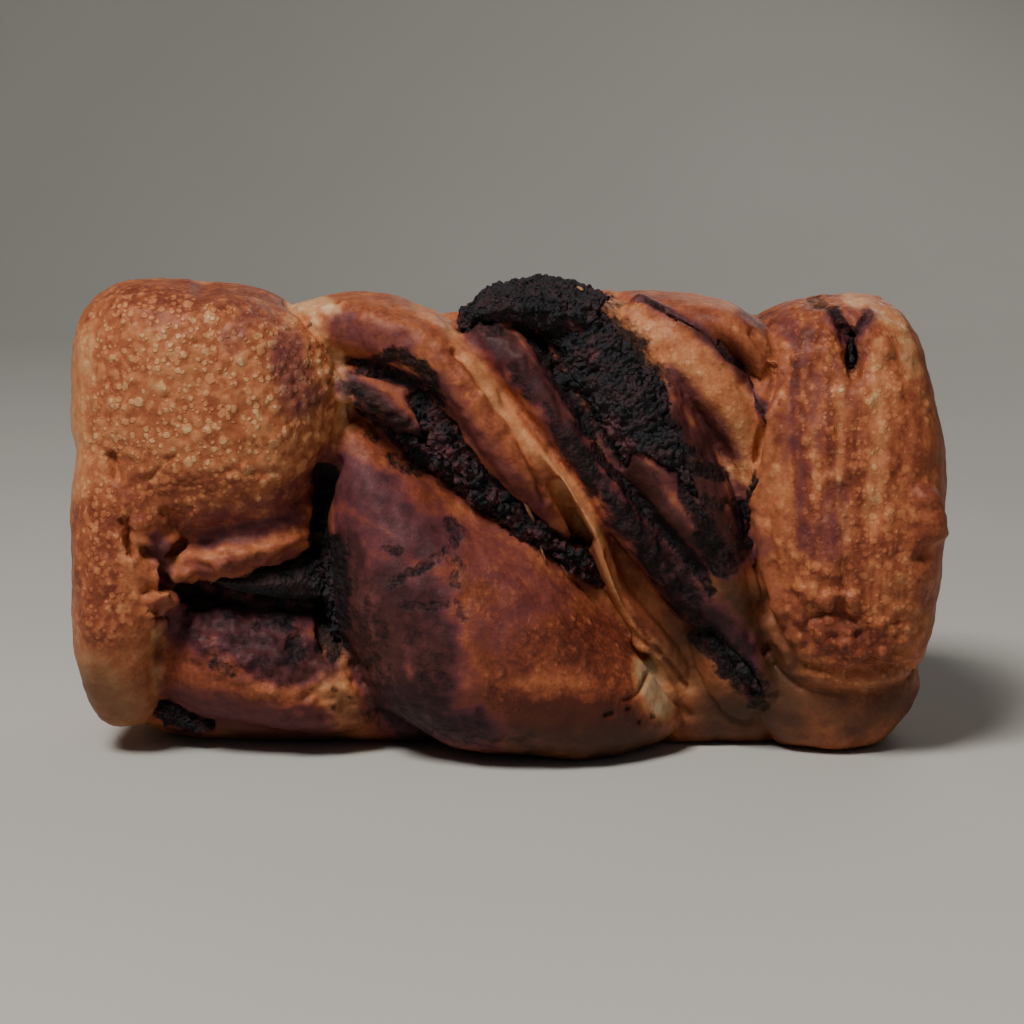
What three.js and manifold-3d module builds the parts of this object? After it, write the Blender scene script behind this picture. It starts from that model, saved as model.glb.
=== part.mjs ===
// Chocolate babka: a loaf of twisted sweet dough with chocolate filling, baked in a long tin.
// It lies on one long side, with its top crust to the front (-Y) and its flat base to the back (+Y).
// Millimetres, +Z up, origin on the resting face under the middle of the loaf.

import * as THREE from "three";
import { ImprovedNoise } from "three/addons/math/ImprovedNoise.js";
import { mergeVertices } from "three/addons/utils/BufferGeometryUtils.js";
import Module from "manifold-3d";

const wasm = await Module();
wasm.setup();
const noise = new ImprovedNoise();

// Driving dimensions of the loaf as the tin gave it.
const BASE_Y = 50; // the flat base of the loaf
const RIM_Y = -15; // the tin's rim, where the crust swells out
const SHELF_Y = -22; // front of the body that carries the strands
const RIM_LENGTH = 222; // the body end to end at the rim
const BASE_LENGTH = 210; // and at the base
const RIM_HEIGHT = 116; // across the tin at the rim
const BASE_HEIGHT = 104; // and at the base
const CORNER_POWER = 7; // how square the tin's corners are
const SINK = 1.5; // how far the body settles into its resting face, which is flat
const GAP = 0.3; // between the filling and the dough around it

// The grooves where two strands meet on the tin sides: square notches, set corner first into the surface.
const NOTCH = 6; // half the notch's diagonal
const NOTCH_LIFT = 3.4; // its middle lies this far outside the surface
const NOTCH_START_Y = 8; // behind the swell of the crust
const EDGE_ROUND = 3; // the tin's edges are rounded by this much

// How finely the shapes are split.
const BODY_SPLITS = [16, 6, 9];
const STRAND_SPLITS = [14, 14]; // around and along a strand that names no splits of its own
const SEAM_STEPS = 11;
const CRUMB_SIZE = 4.2; // the size of the crags on the baked chocolate
const CRUMB_TURN = 3; // how many crags fit around a strand of chocolate
const TINY = 1e-6;
const MERGE = 1e-4; // points closer than this are one point

const doughFinish = new THREE.MeshStandardMaterial({ color: 0xa5683a, roughness: 0.62, metalness: 0 });
const chocolateFinish = new THREE.MeshStandardMaterial({ color: 0x2a2226, roughness: 0.8, metalness: 0 });

// A closed geometry as a solid that can be joined and cut.
function solidOf(geometry) {
  const bare = new THREE.BufferGeometry();
  bare.setAttribute("position", geometry.getAttribute("position"));
  bare.setIndex(geometry.index);
  const merged = mergeVertices(bare, MERGE);
  const mesh = new wasm.Mesh({
    numProp: 3,
    vertProperties: merged.attributes.position.array,
    triVerts: new Uint32Array(merged.index.array),
  });
  return new wasm.Manifold(mesh);
}

// A solid back as a geometry with flat facets.
function geometryOf(solid) {
  const mesh = solid.getMesh();
  const geometry = new THREE.BufferGeometry();
  geometry.setAttribute("position", new THREE.BufferAttribute(mesh.vertProperties, 3));
  geometry.setIndex(new THREE.BufferAttribute(mesh.triVerts, 1));
  geometry.computeVertexNormals();
  return geometry;
}

const union = (solids) => solids.reduce((sum, next) => sum.add(next));

// The largest body of a solid: scraps that a cut leaves loose are dropped.
function largest(solid) {
  const bodies = solid.decompose();
  return bodies.reduce((best, next) => (next.volume() > best.volume() ? next : best));
}

// A value along a strand: one number, or a list of them spaced evenly from end to end.
function along(values, t) {
  if (typeof values === "number") return values;
  const curve = new THREE.SplineCurve(values.map((value, i) => new THREE.Vector2(i, value)));
  return curve.getPoint(t).y;
}

const signedPower = (value, power) => Math.sign(value) * Math.abs(value) ** power;

// A strand of dough or filling: a ball drawn out along a path in the plane of the crust (x, z).
// It is halfWidth wide on each side of the path, swells forward from rim to crest, and reaches back to back.
// A high blunt gives square ends, a high boxy a flat front, a high backBoxy a slab behind; crags roughen its face.
function strand(shape, grow = 0) {
  const { path, halfWidth, crest, rim, back, blunt = 2.6, boxy = 2.3, backBoxy = 3 } = shape;
  const { crags = 0, splits = STRAND_SPLITS } = shape;
  const line = new THREE.SplineCurve(path.map(([x, z]) => new THREE.Vector2(x, z)));
  const ball = new THREE.SphereGeometry(1, ...splits);
  const position = ball.attributes.position;
  for (let i = 0; i < position.count; i++) {
    const pole = THREE.MathUtils.clamp(position.getY(i), -1, 1);
    const ring = Math.sqrt(1 - pole * pole);
    const cos = ring > TINY ? position.getX(i) / ring : 1;
    const sin = Math.abs(position.getZ(i)) > TINY ? position.getZ(i) / ring : 0;
    const end = ring > TINY ? (1 - Math.abs(pole) ** blunt) ** (1 / blunt) : 0;
    const power = 2 / (sin > 0 ? boxy : backBoxy);
    const t = (1 - pole) / 2;
    const centre = line.getPoint(t);
    const tangent = line.getTangent(t);
    const across = (along(halfWidth, t) + grow) * end * signedPower(cos, power);
    const overrun = -pole * grow;
    const x = centre.x - tangent.y * across + tangent.x * overrun;
    const z = centre.y + tangent.x * across + tangent.y * overrun;
    const bite = crags * noise.noise(x / CRUMB_SIZE, sin * CRUMB_TURN, z / CRUMB_SIZE);
    const front = rim - along(crest, t) + grow + bite;
    const depth = sin > 0 ? -front * end * sin ** power : (back - rim + grow) * end * (-sin) ** power;
    position.setXYZ(i, x, rim + depth, z);
  }
  return solidOf(ball);
}

// The body of the loaf: a block with round corners that narrows from the tin's rim to its base.
function tinBody() {
  const block = new THREE.BoxGeometry(2, 2, 2, ...BODY_SPLITS);
  const position = block.attributes.position;
  const point = new THREE.Vector3();
  for (let i = 0; i < position.count; i++) {
    point.fromBufferAttribute(position, i);
    const reach = point.toArray().reduce((sum, value) => sum + Math.abs(value) ** CORNER_POWER, 0);
    point.multiplyScalar(reach ** (-1 / CORNER_POWER));
    const y = THREE.MathUtils.lerp(SHELF_Y, BASE_Y, (point.y + 1) / 2);
    const share = (y - RIM_Y) / (BASE_Y - RIM_Y);
    const halfLength = THREE.MathUtils.lerp(RIM_LENGTH, BASE_LENGTH, share) / 2;
    const height = THREE.MathUtils.lerp(RIM_HEIGHT, BASE_HEIGHT, share) + SINK;
    position.setXYZ(i, point.x * halfLength, y, ((point.z + 1) / 2) * height - SINK);
  }
  return solidOf(block);
}

// The height of the loaf's upper tin side at a depth.
const topAt = (y) => THREE.MathUtils.mapLinear(y, RIM_Y, BASE_Y, RIM_HEIGHT, BASE_HEIGHT);

// The groove between two strands where the tin pressed them flat: over the upper side and down the base.
// It starts at x = front behind the crust, passes x = corner at the base's upper edge and ends at x = foot below.
function seam({ front, corner, foot }) {
  const middleY = (NOTCH_START_Y + BASE_Y) / 2;
  const cornerLift = NOTCH_LIFT * Math.SQRT1_2 - EDGE_ROUND;
  const points = [
    new THREE.Vector3(front, NOTCH_START_Y, topAt(NOTCH_START_Y) + NOTCH_LIFT),
    new THREE.Vector3((front + corner) / 2, middleY, topAt(middleY) + NOTCH_LIFT),
    new THREE.Vector3(corner, BASE_Y + cornerLift, topAt(BASE_Y) + cornerLift),
    new THREE.Vector3((corner + foot) / 2, BASE_Y + NOTCH_LIFT, BASE_HEIGHT / 2),
    new THREE.Vector3(foot, BASE_Y + NOTCH_LIFT, EDGE_ROUND),
  ];
  const corners = [[NOTCH, 0], [0, NOTCH], [-NOTCH, 0], [0, -NOTCH]];
  const notch = new THREE.Shape(corners.map(([across, deep]) => new THREE.Vector2(across, deep)));
  const extrudePath = new THREE.CatmullRomCurve3(points, false, "centripetal");
  return solidOf(new THREE.ExtrudeGeometry(notch, { steps: SEAM_STEPS, extrudePath }));
}

// Everything under the resting face.
function underFloor() {
  const slab = new THREE.BoxGeometry(2 * RIM_LENGTH, 2 * RIM_LENGTH, RIM_HEIGHT);
  slab.translate(0, 0, -RIM_HEIGHT / 2);
  return solidOf(slab);
}

// The strands that show on the crust, from the left end to the right.
const STRANDS = {
  leftEnd: {
    path: [[-79, 122.5], [-79.5, 108], [-75, 88], [-68.5, 61]],
    halfWidth: [25, 33, 37, 24],
    crest: -47, rim: -13, back: 10, blunt: 3.4, boxy: 2.5, splits: [22, 14],
  },
  leftColumn: {
    path: [[-90, 113], [-95, 76], [-99.6, 40], [-100, 6]],
    halfWidth: [16, 16.5, 14, 11],
    crest: [-37, -42, -42, -35], rim: -10, back: 10, blunt: 3.4, boxy: 2.8, splits: [16, 16],
  },
  tornTag: {
    path: [[-95, 52], [-89, 43], [-86, 34]],
    halfWidth: [3, 3.6, 2.4],
    crest: [-38, -41, -36], rim: -26, back: -8, splits: [8, 8],
  },
  leftUnder: {
    path: [[-93, 27], [-62, 24], [-32, 11]],
    halfWidth: [18, 19.5, 13],
    crest: [-33, -37, -32], rim: -8, back: 24, blunt: 3,
  },
  foldRecess: {
    path: [[-92, 58], [-74, 61], [-58, 63], [-47, 66.5]],
    halfWidth: [6, 6.5, 5.5, 4],
    crest: [-36, -36.5, -35, -32], rim: -20, back: 0, splits: [10, 10],
  },
  foldLip: {
    path: [[-91, 50], [-75, 53.5], [-61, 56], [-47.5, 58.5]],
    halfWidth: [6, 5.8, 4.6, 3.2],
    crest: [-38, -40.5, -39.5, -36], rim: -24, back: -4, splits: [10, 12],
  },
  lowerWedge: {
    path: [[-42, 89.5], [-33.5, 67.5], [-13, 35], [20, 16.5], [46, 9]],
    halfWidth: [9, 16.5, 31, 21.5, 13],
    crest: [-34, -42, -50, -48, -38], rim: -12, back: 26, splits: [20, 16],
  },
  upperWedge: {
    path: [[-58, 111], [-34, 112], [-14, 102.5], [-2, 85], [9, 69.5], [18, 57.5]],
    halfWidth: [9.5, 9, 8, 7.6, 6, 2.5],
    crest: [-35, -40, -43, -43.5, -42, -35], rim: -12, back: 6, boxy: 3.2, splits: [18, 16],
  },
  paleRidge: {
    path: [[-10, 107], [3, 89.5], [12.5, 76.5], [22, 62], [29.5, 42], [46, 21]],
    halfWidth: [1.5, 1.6, 1.7, 2, 3, 6],
    crest: [-36, -43, -44.5, -44, -38, -27], rim: -24, back: -2, splits: [10, 16],
  },
  purpleRoll: {
    path: [[-14, 108], [0, 106.5], [15.5, 85], [36, 56], [58, 26]],
    halfWidth: [8, 8.5, 6.6, 6.6, 6.5],
    crest: [-41, -45, -46, -44, -32], rim: -14, back: 4,
  },
  charredRoll: {
    path: [[8, 117], [29, 97], [46, 71], [57, 46], [67, 15]],
    halfWidth: [12, 14, 12.5, 8.5, 7],
    crest: [-38, -43, -44, -40, -28], rim: -12, back: 6,
  },
  goldStrand: {
    path: [[22, 119], [39, 110], [52, 97], [60.5, 83], [63, 62], [64, 46]],
    halfWidth: [5, 7, 8, 6.5, 5, 5],
    crest: [-33, -39, -40, -38, -33, -25], rim: -12, back: 4, boxy: 2.8, splits: [12, 14],
  },
  goldEdge: {
    path: [[24, 118.5], [40, 116.5], [51, 114], [60.5, 109.5], [66.5, 100], [67, 88]],
    halfWidth: [2.5, 3.6, 4.8, 6.2, 5.8, 3.5],
    crest: [-29, -33, -37, -39, -38, -33], rim: -12, back: 4, boxy: 2.8, splits: [12, 12],
  },
  rightEnd: {
    path: [[81.5, 118.5], [87, 71], [89, 17]],
    halfWidth: [23, 26.5, 22],
    crest: [-40, -45, -42], rim: -11, back: 10, blunt: 3.6, boxy: 3.2, splits: [22, 14],
  },
  rightUnder: {
    path: [[60, 24], [86, 13], [107, 25]],
    halfWidth: [15, 18, 13],
    crest: [-28, -31, -27], rim: -2, back: 24, splits: [14, 12],
  },
  paleWeb: {
    path: [[46, 52], [58, 28], [66, 4]],
    halfWidth: [10, 14, 14],
    crest: [-27, -30, -26], rim: 0, back: 26, splits: [14, 10],
  },
};

// The thin layer of dough that shows inside the long slit.
const SLIT_LAYER = {
  path: [[-54, 103], [-40, 97], [-29, 91.5], [-16, 79.5]],
  halfWidth: [4, 4, 3.6, 2.4],
  crest: [-28, -34, -38.5, -33], rim: -26, back: -6, splits: [10, 12],
};

// The slit torn in the crust of the right end.
const TEAR = {
  path: [[83, 118], [85.5, 108], [86, 98]],
  halfWidth: [3.6, 2.4, 1.6],
  crest: -60, rim: -48, back: -32, splits: [10, 8],
};

// The chocolate layers that show on the crust. Each runs on into the loaf as a slab with square edges.
const SLAB = { blunt: 3, backBoxy: 6 };
const FILLINGS = {
  chocolate_fold: [
    {
      path: [[-77, 47.5], [-63, 47], [-46, 47]],
      halfWidth: [2, 4.6, 8],
      crest: [-32, -35, -30], rim: -18, back: 28, crags: 0.4, splits: [12, 10],
    },
    {
      path: [[-45, 77], [-44.5, 50], [-42, 27]],
      halfWidth: [3, 5, 4.5],
      crest: [-21, -28, -30], rim: -10, back: 28, crags: 1.6, splits: [10, 14],
    },
  ],
  chocolate_slit: [
    {
      path: [[-41, 103], [-25, 93], [-12, 79], [4, 63], [27, 45]],
      halfWidth: [7, 11, 8, 5, 4],
      crest: [-29, -32, -34, -34, -28], rim: -20, back: 30, crags: 2.4, splits: [12, 18],
    },
  ],
  chocolate_crest: [
    {
      path: [[-10.5, 106], [-8.5, 114.5], [3, 118], [15, 116], [29, 112]],
      halfWidth: [1.8, 3, 5, 7, 7.5],
      crest: [-29, -35, -39.5, -42, -43], rim: -18, back: 0, backBoxy: 2, crags: 2.2, splits: [12, 16],
    },
    {
      path: [[12, 118], [27, 100.5], [38.5, 82], [49.5, 64], [58, 45]],
      halfWidth: [8, 11.5, 11, 9.5, 6],
      crest: [-40, -46, -47, -45, -38], rim: -28, back: -20, backBoxy: 3, crags: 2.6, splits: [18, 18],
    },
    {
      path: [[7, 108], [19, 90], [34, 66], [51, 43], [69, 15]],
      halfWidth: [4, 4, 4, 4.4, 5],
      crest: [-36, -37, -37, -36, -30], rim: -26, back: 12, crags: 2, splits: [10, 16],
    },
  ],
  chocolate_seam: [
    {
      path: [[33, 117], [47.5, 110], [56, 101.5], [65, 90]],
      halfWidth: [0.9, 1.1, 1.1, 1],
      crest: [-29, -34, -34, -30], rim: -20, back: -4, crags: 0.4, splits: [8, 12],
    },
  ],
  chocolate_tear: [
    {
      path: [[83, 114.5], [85.5, 108], [86, 97]],
      halfWidth: [3.6, 3.2, 2.4],
      crest: [-30, -34, -34], rim: -24, back: -2, crags: 0.6, splits: [10, 8],
    },
  ],
  chocolate_foot: [
    {
      path: [[-94, 14], [-87, 10.5], [-78, 6]],
      halfWidth: [3, 3.6, 2.6],
      crest: [-22, -25, -24], rim: -8, back: 24, crags: 1.4, splits: [10, 8],
    },
  ],
};

// Where two strands meet on the tin sides, as places along the loaf.
const SEAMS = [
  { front: -57, corner: -96, foot: -118 },
  { front: -13, corner: -55, foot: -108 },
  { front: 25, corner: -18, foot: -84 },
  { front: 53, corner: 10, foot: -50 },
  { front: 118, corner: 76, foot: 10 },
];

const fillingOf = (shapes, grow) => union(shapes.map((shape) => strand({ ...SLAB, ...shape }, grow)));
const floor = underFloor();

function doughSolid() {
  const loaf = union([tinBody(), ...Object.values(STRANDS).map((shape) => strand(shape))]);
  const grooved = loaf.subtract(union(SEAMS.map(seam))).subtract(strand(TEAR));
  const pockets = union(Object.values(FILLINGS).map((shapes) => fillingOf(shapes, GAP)));
  return largest(grooved.subtract(pockets).add(strand(SLIT_LAYER)).subtract(floor));
}

function fillingSolid(shapes) {
  return largest(fillingOf(shapes, 0).subtract(strand(SLIT_LAYER, GAP)).subtract(floor));
}

function piece(name, solid, finish) {
  const mesh = new THREE.Mesh(geometryOf(solid), finish);
  mesh.name = name;
  return mesh;
}

const babka = new THREE.Group();
babka.name = "chocolate_babka";
babka.add(piece("dough", doughSolid(), doughFinish));
for (const [name, shapes] of Object.entries(FILLINGS)) {
  babka.add(piece(name, fillingSolid(shapes), chocolateFinish));
}

export default babka;
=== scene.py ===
# %% [markdown]
# A chocolate babka, cell by cell. The real loaf is a rope of sweet dough rolled round a chocolate
# filling, twisted, and baked in a long tin until the crust browns and the open chocolate chars.
# The solids of the loaf come in as a fixed frame, in metres. Everything here is built over them,
# so the first step is to load them and to keep the box that they fill.

# %% Load the frame
import math
import random

import bmesh
import bpy
import numpy as np
from mathutils import Euler, Matrix, Vector, kdtree, noise
from mathutils.bvhtree import BVHTree


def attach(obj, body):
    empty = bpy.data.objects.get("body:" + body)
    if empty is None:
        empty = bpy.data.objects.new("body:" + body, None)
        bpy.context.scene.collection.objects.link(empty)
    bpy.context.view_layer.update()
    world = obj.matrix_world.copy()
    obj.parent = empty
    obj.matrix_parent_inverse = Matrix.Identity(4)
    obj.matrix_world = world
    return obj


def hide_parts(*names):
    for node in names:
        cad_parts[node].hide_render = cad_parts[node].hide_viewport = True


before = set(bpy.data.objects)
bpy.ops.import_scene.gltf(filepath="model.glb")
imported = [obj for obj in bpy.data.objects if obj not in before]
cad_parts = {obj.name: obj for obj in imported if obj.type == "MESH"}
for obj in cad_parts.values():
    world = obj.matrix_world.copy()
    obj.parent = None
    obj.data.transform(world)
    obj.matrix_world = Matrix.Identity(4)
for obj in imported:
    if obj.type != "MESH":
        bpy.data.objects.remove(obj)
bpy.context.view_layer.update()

MM = 0.001
print("nodes:", sorted(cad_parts))

# %% [markdown]
# The camera comes next, because the crust is painted and pressed where the view shows each mark.
# It stands a little above the loaf and looks straight along the loaf's depth. A long lens keeps the
# strands from spreading towards the edges. The same few numbers place the camera and work out
# where any point of the loaf shows in the picture, counted in pixels of a square frame.

# %% Camera
LENS_MM = 85.0
SENSOR_MM = 36.0
FRAME_PX = 1024
CLIP_START = 10 * MM
VIEW_ELEVATION = math.radians(9)
VIEW_DISTANCE = 646 * MM
VIEW_TARGET = Vector((1.3 * MM, 0.0, 60.3 * MM))
FOCAL_PX = FRAME_PX * LENS_MM / SENSOR_MM

away = Vector((0.0, -math.cos(VIEW_ELEVATION), math.sin(VIEW_ELEVATION)))
EYE = VIEW_TARGET + away * VIEW_DISTANCE
FORWARD = -away
RIGHT = Vector((1.0, 0.0, 0.0))
UP = RIGHT.cross(FORWARD)

camera = bpy.data.objects.new("camera", bpy.data.cameras.new("camera"))
bpy.context.scene.collection.objects.link(camera)
camera.data.lens = LENS_MM
camera.data.sensor_width = SENSOR_MM
camera.data.clip_start = CLIP_START
camera.location = EYE
camera.rotation_euler = FORWARD.to_track_quat("-Z", "Y").to_euler()
bpy.context.scene.camera = camera


def seen_at(points):
    """Where points show in the frame, in pixels from its upper left corner."""
    rays = points - np.array(EYE)
    depth = rays @ np.array(FORWARD)
    across = FOCAL_PX * (rays @ np.array(RIGHT)) / depth
    upward = FOCAL_PX * (rays @ np.array(UP)) / depth
    return np.column_stack([FRAME_PX / 2 + across, FRAME_PX / 2 - upward])


def sight_line(pixel):
    """The direction from the eye through a pixel."""
    across = (pixel[0] - FRAME_PX / 2) / FOCAL_PX
    upward = (FRAME_PX / 2 - pixel[1]) / FOCAL_PX
    return (FORWARD + RIGHT * across + UP * upward).normalized()


print("eye in mm:", [round(value / MM, 1) for value in EYE])

# %% [markdown]
# The loaf stands on a plain pale sweep: a floor that rolls up into a wall far behind it, as in a small
# studio. A sweep has no edge, so nothing distracts from the crust. The line of the floor is pulled
# out, spun a quarter turn for the roll and pulled up for the wall.

# %% Floor
SWEEP_WIDTH = 6.0
SWEEP_FRONT = -2.5
SWEEP_BACK = 1.2
SWEEP_ROLL = 0.8
SWEEP_WALL = 1.6
SWEEP_STEPS = 24


def new_piece(name, bm):
    """A new object with the mesh of a bmesh."""
    mesh = bpy.data.meshes.new(name)
    bm.to_mesh(mesh)
    bm.free()
    piece = bpy.data.objects.new(name, mesh)
    bpy.context.scene.collection.objects.link(piece)
    return piece


def edges_among(items):
    """The edges in a list of mesh parts."""
    return [item for item in items if isinstance(item, bmesh.types.BMEdge)]


def pulled(bm, line, step):
    """Pulls a line of edges out by a step, and gives the new line."""
    made = bmesh.ops.extrude_edge_only(bm, edges=line)["geom"]
    verts = [item for item in made if isinstance(item, bmesh.types.BMVert)]
    bmesh.ops.translate(bm, verts=verts, vec=step)
    return [edge for edge in edges_among(made) if all(vert in verts for vert in edge.verts)]


def studio_sweep():
    """A floor that rolls up into a back wall."""
    bm = bmesh.new()
    left = bm.verts.new((-SWEEP_WIDTH / 2, SWEEP_FRONT, 0.0))
    right = bm.verts.new((SWEEP_WIDTH / 2, SWEEP_FRONT, 0.0))
    line = pulled(bm, [bm.edges.new((left, right))], (0, SWEEP_BACK - SWEEP_FRONT, 0))
    turn = {"cent": (0, SWEEP_BACK, SWEEP_ROLL), "axis": (1, 0, 0), "angle": math.pi / 2}
    line = edges_among(bmesh.ops.spin(bm, geom=line, steps=SWEEP_STEPS, **turn)["geom_last"])
    pulled(bm, line, (0, 0, SWEEP_WALL))
    bmesh.ops.recalc_face_normals(bm, faces=bm.faces)
    return new_piece("sweep", bm)


sweep = studio_sweep()
sweep.data.shade_smooth()
print("sweep faces:", len(sweep.data.polygons))

# %% [markdown]
# The light is one large soft box, high in front and to the left, so that each lobe is bright on top and
# falls off below. A weak wide fill from the right, a lamp behind the loaf and a dim room do the rest.
# Soft light lets the blisters and wrinkles show by their shading and not by hard shadows.

# %% Light
LIGHTS = {
    "key": {"place": (-0.45, -0.75, 1.2), "size": 0.4, "watts": 22.0},
    "fill": {"place": (0.9, -1.4, 0.9), "size": 1.4, "watts": 1.0},
    "back": {"place": (0.6, 1.4, 1.0), "size": 1.0, "watts": 4.5},
}
LIGHT_COLOUR = (1.0, 0.97, 0.92)
ROOM_COLOUR = (0.92, 0.95, 1.0, 1.0)
ROOM_STRENGTH = 0.05

for name, light in LIGHTS.items():
    lamp = bpy.data.lights.new(name, "AREA")
    lamp.shape = "SQUARE"
    lamp.size = light["size"]
    lamp.energy = light["watts"]
    lamp.color = LIGHT_COLOUR
    holder = bpy.data.objects.new(name, lamp)
    holder.location = light["place"]
    holder.rotation_euler = (VIEW_TARGET - holder.location).to_track_quat("-Z", "Y").to_euler()
    bpy.context.scene.collection.objects.link(holder)
room = bpy.data.worlds.new("room")
room.use_nodes = True
background = room.node_tree.nodes["Background"]
background.inputs["Color"].default_value = ROOM_COLOUR
background.inputs["Strength"].default_value = ROOM_STRENGTH
bpy.context.scene.world = room
print("lights:", ", ".join(LIGHTS))

# %% [markdown]
# Now the skin of the dough. The solids are faceted, and real dough has no facets, so their meshes
# are joined and remeshed into small even cells. The fillings are swollen a little and joined in too:
# the skin then runs on under the chocolate, and no gap shows between them.

# %% Skin of the dough
FILLINGS = sorted(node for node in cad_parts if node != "dough")
CELL = 0.95 * MM
SWELL = 0.5 * MM
WELD = 0.001 * MM


def take_in(bm, other):
    """Moves the faces of another bmesh into a bmesh."""
    mesh = bpy.data.meshes.new("other")
    other.to_mesh(mesh)
    other.free()
    bm.from_mesh(mesh)
    bpy.data.meshes.remove(mesh)


def merged(nodes, swell=0.0):
    """A bmesh of CAD nodes, each with its loose triangles welded and its skin moved out by swell."""
    joined = bmesh.new()
    for node in nodes:
        part = bmesh.new()
        part.from_mesh(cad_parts[node].data)
        bmesh.ops.remove_doubles(part, verts=part.verts, dist=WELD)
        part.normal_update()
        for vert in part.verts:
            vert.co += vert.normal * swell
        take_in(joined, part)
    joined.normal_update()
    return joined


def modified(piece, kind, **settings):
    """Puts the result of one modifier in a piece's mesh."""
    modifier = piece.modifiers.new(kind, kind)
    for key, value in settings.items():
        setattr(modifier, key, value)
    graph = bpy.context.evaluated_depsgraph_get()
    mesh = bpy.data.meshes.new_from_object(piece.evaluated_get(graph))
    piece.modifiers.clear()
    piece.data = mesh
    mesh.name = piece.name


whole = merged(["dough"])
take_in(whole, merged(FILLINGS, SWELL))
loaf = new_piece("babka_dough", whole)
modified(loaf, "REMESH", mode="VOXEL", voxel_size=CELL)
print("cells in the skin:", len(loaf.data.polygons))

# %% [markdown]
# A skin has many thousands of points, and a loop over them is slow. So the next cells read all points of
# a mesh at once, as rows of numbers, move the rows, and put them back. A few helpers do that, and one
# more finds the nearest of many places.

# %% Points as rows of numbers
def numbers_of(items, name, width, kind=float):
    """One property of the parts of a mesh, one row of numbers each."""
    values = np.empty(len(items) * width, dtype=kind)
    items.foreach_get(name, values)
    return values.reshape(-1, width)


def points_of(piece):
    """The points of a piece, one row each."""
    return numbers_of(piece.data.vertices, "co", 3)


def normals_of(piece):
    """The direction out of the skin at each point of a piece."""
    return numbers_of(piece.data.vertex_normals, "vector", 3)


def edges_of(piece):
    """The two points of each edge of a piece."""
    return numbers_of(piece.data.edges, "vertices", 2, np.int32)


def put_points(piece, points):
    """Moves the points of a piece to the rows given."""
    piece.data.vertices.foreach_set("co", np.ascontiguousarray(points).ravel())
    piece.data.update()


def ramp(values, low, high):
    """0 at low, 1 at high and smooth between."""
    t = np.clip((values - low) / (high - low), 0.0, 1.0)
    return t * t * (3 - 2 * t)


def lookup(places):
    """A tree that finds the nearest of some places."""
    tree = kdtree.KDTree(len(places))
    for index, place in enumerate(places):
        tree.insert(place, index)
    tree.balance()
    return tree


points = points_of(loaf)
edges = edges_of(loaf)
print("points in the skin:", len(points))

# %% [markdown]
# The remeshed skin still has the flats of the solids. It is relaxed: each point moves towards the middle
# of its neighbours, round by round. Where two strands meet, a real loaf keeps a sharp crease, so
# the points near the inner corners of the solid move little. On the left end the corners
# between the strands have baked together into one lobe, and those corners are left out.

# %% Relax the skin, but not its creases
CREASE_ANGLE = math.radians(18)
CREASE_STEP = 1 * MM
CREASE_HOLD = (0.6 * MM, 3.0 * MM)
CREASE_SHARE = 0.14
MELTED_X = -86 * MM
MELTED_Z = 46 * MM
RELAX_SHARE = 0.5
RELAX_ROUNDS = 28
SETTLE_ROUNDS = 3


def relaxed(values, edges, share, rounds):
    """Values at the points of a mesh, moved by share towards the mean of their neighbours each round."""
    columns = values.reshape(len(values), -1).copy()
    neighbours = np.bincount(edges.ravel(), minlength=len(values))
    for _ in range(rounds):
        for column in columns.T:
            total = np.bincount(edges[:, 0], column[edges[:, 1]], len(values))
            total += np.bincount(edges[:, 1], column[edges[:, 0]], len(values))
            column += share * (total / neighbours - column)
    return columns.reshape(values.shape)


def crease_points():
    """Points along the inner corners of the dough's solid."""
    bm = merged(["dough"])
    found = []
    for edge in bm.edges:
        if len(edge.link_faces) != 2 or edge.calc_face_angle_signed(0.0) > -CREASE_ANGLE:
            continue
        start, end = (vert.co for vert in edge.verts)
        if max(start.x, end.x) < MELTED_X and min(start.z, end.z) > MELTED_Z:
            continue
        steps = max(1, round((end - start).length / CREASE_STEP))
        found += [start.lerp(end, step / steps) for step in range(steps + 1)]
    bm.free()
    return found


def crease_distances(points):
    """How far each point is from the nearest crease."""
    return np.array([creases.find(point)[2] for point in points])


creases = lookup(crease_points())
points = relaxed(points, edges, RELAX_SHARE, SETTLE_ROUNDS)
free = ramp(crease_distances(points), *CREASE_HOLD)
points = relaxed(points, edges, RELAX_SHARE * (CREASE_SHARE + (1 - CREASE_SHARE) * free), RELAX_ROUNDS)
put_points(loaf, points)
print("points on a crease:", int((free == 0).sum()))

# %% [markdown]
# The browned top is what shows all its relief, and the tin sides are nearly smooth. So the skin keeps
# its small cells on the top and is thinned on the sides and the base, which keeps the whole piece
# light enough to handle.

# %% Thin the tin sides
TOP_Y = -2 * MM
MOST_TRIANGLES = 196_000
THIN_FACTOR = 1000


def triangles_of(piece):
    """How many triangles a piece has."""
    return sum(len(polygon.vertices) - 2 for polygon in piece.data.polygons)


def thinned(piece, keep, most):
    """Thins a piece to so many triangles, and takes them only where keep is false."""
    group = piece.vertex_groups.new(name="thin")
    group.add(np.flatnonzero(~keep).tolist(), 1.0, "REPLACE")
    share = min(1.0, most / triangles_of(piece))
    modified(piece, "DECIMATE", ratio=share, vertex_group="thin", vertex_group_factor=THIN_FACTOR)
    piece.vertex_groups.clear()


facing = normals_of(loaf) @ np.array(away)
kept = (points[:, 1] < TOP_Y) & (facing > 0)
print("points kept on the top:", int(kept.sum()), "of", len(kept))
thinned(loaf, kept, MOST_TRIANGLES)
points = points_of(loaf)
edges = edges_of(loaf)
print("triangles left:", triangles_of(loaf))

# %% [markdown]
# Dough that has risen and baked is never even. The first relief is broad: swells of a few centimetres,
# lumps of some millimetres, and a line pressed in along each crease. Noise read at each point of the
# skin gives the height, and the point moves in or out by it. The tin held the sides flat, so they get
# less.

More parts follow.
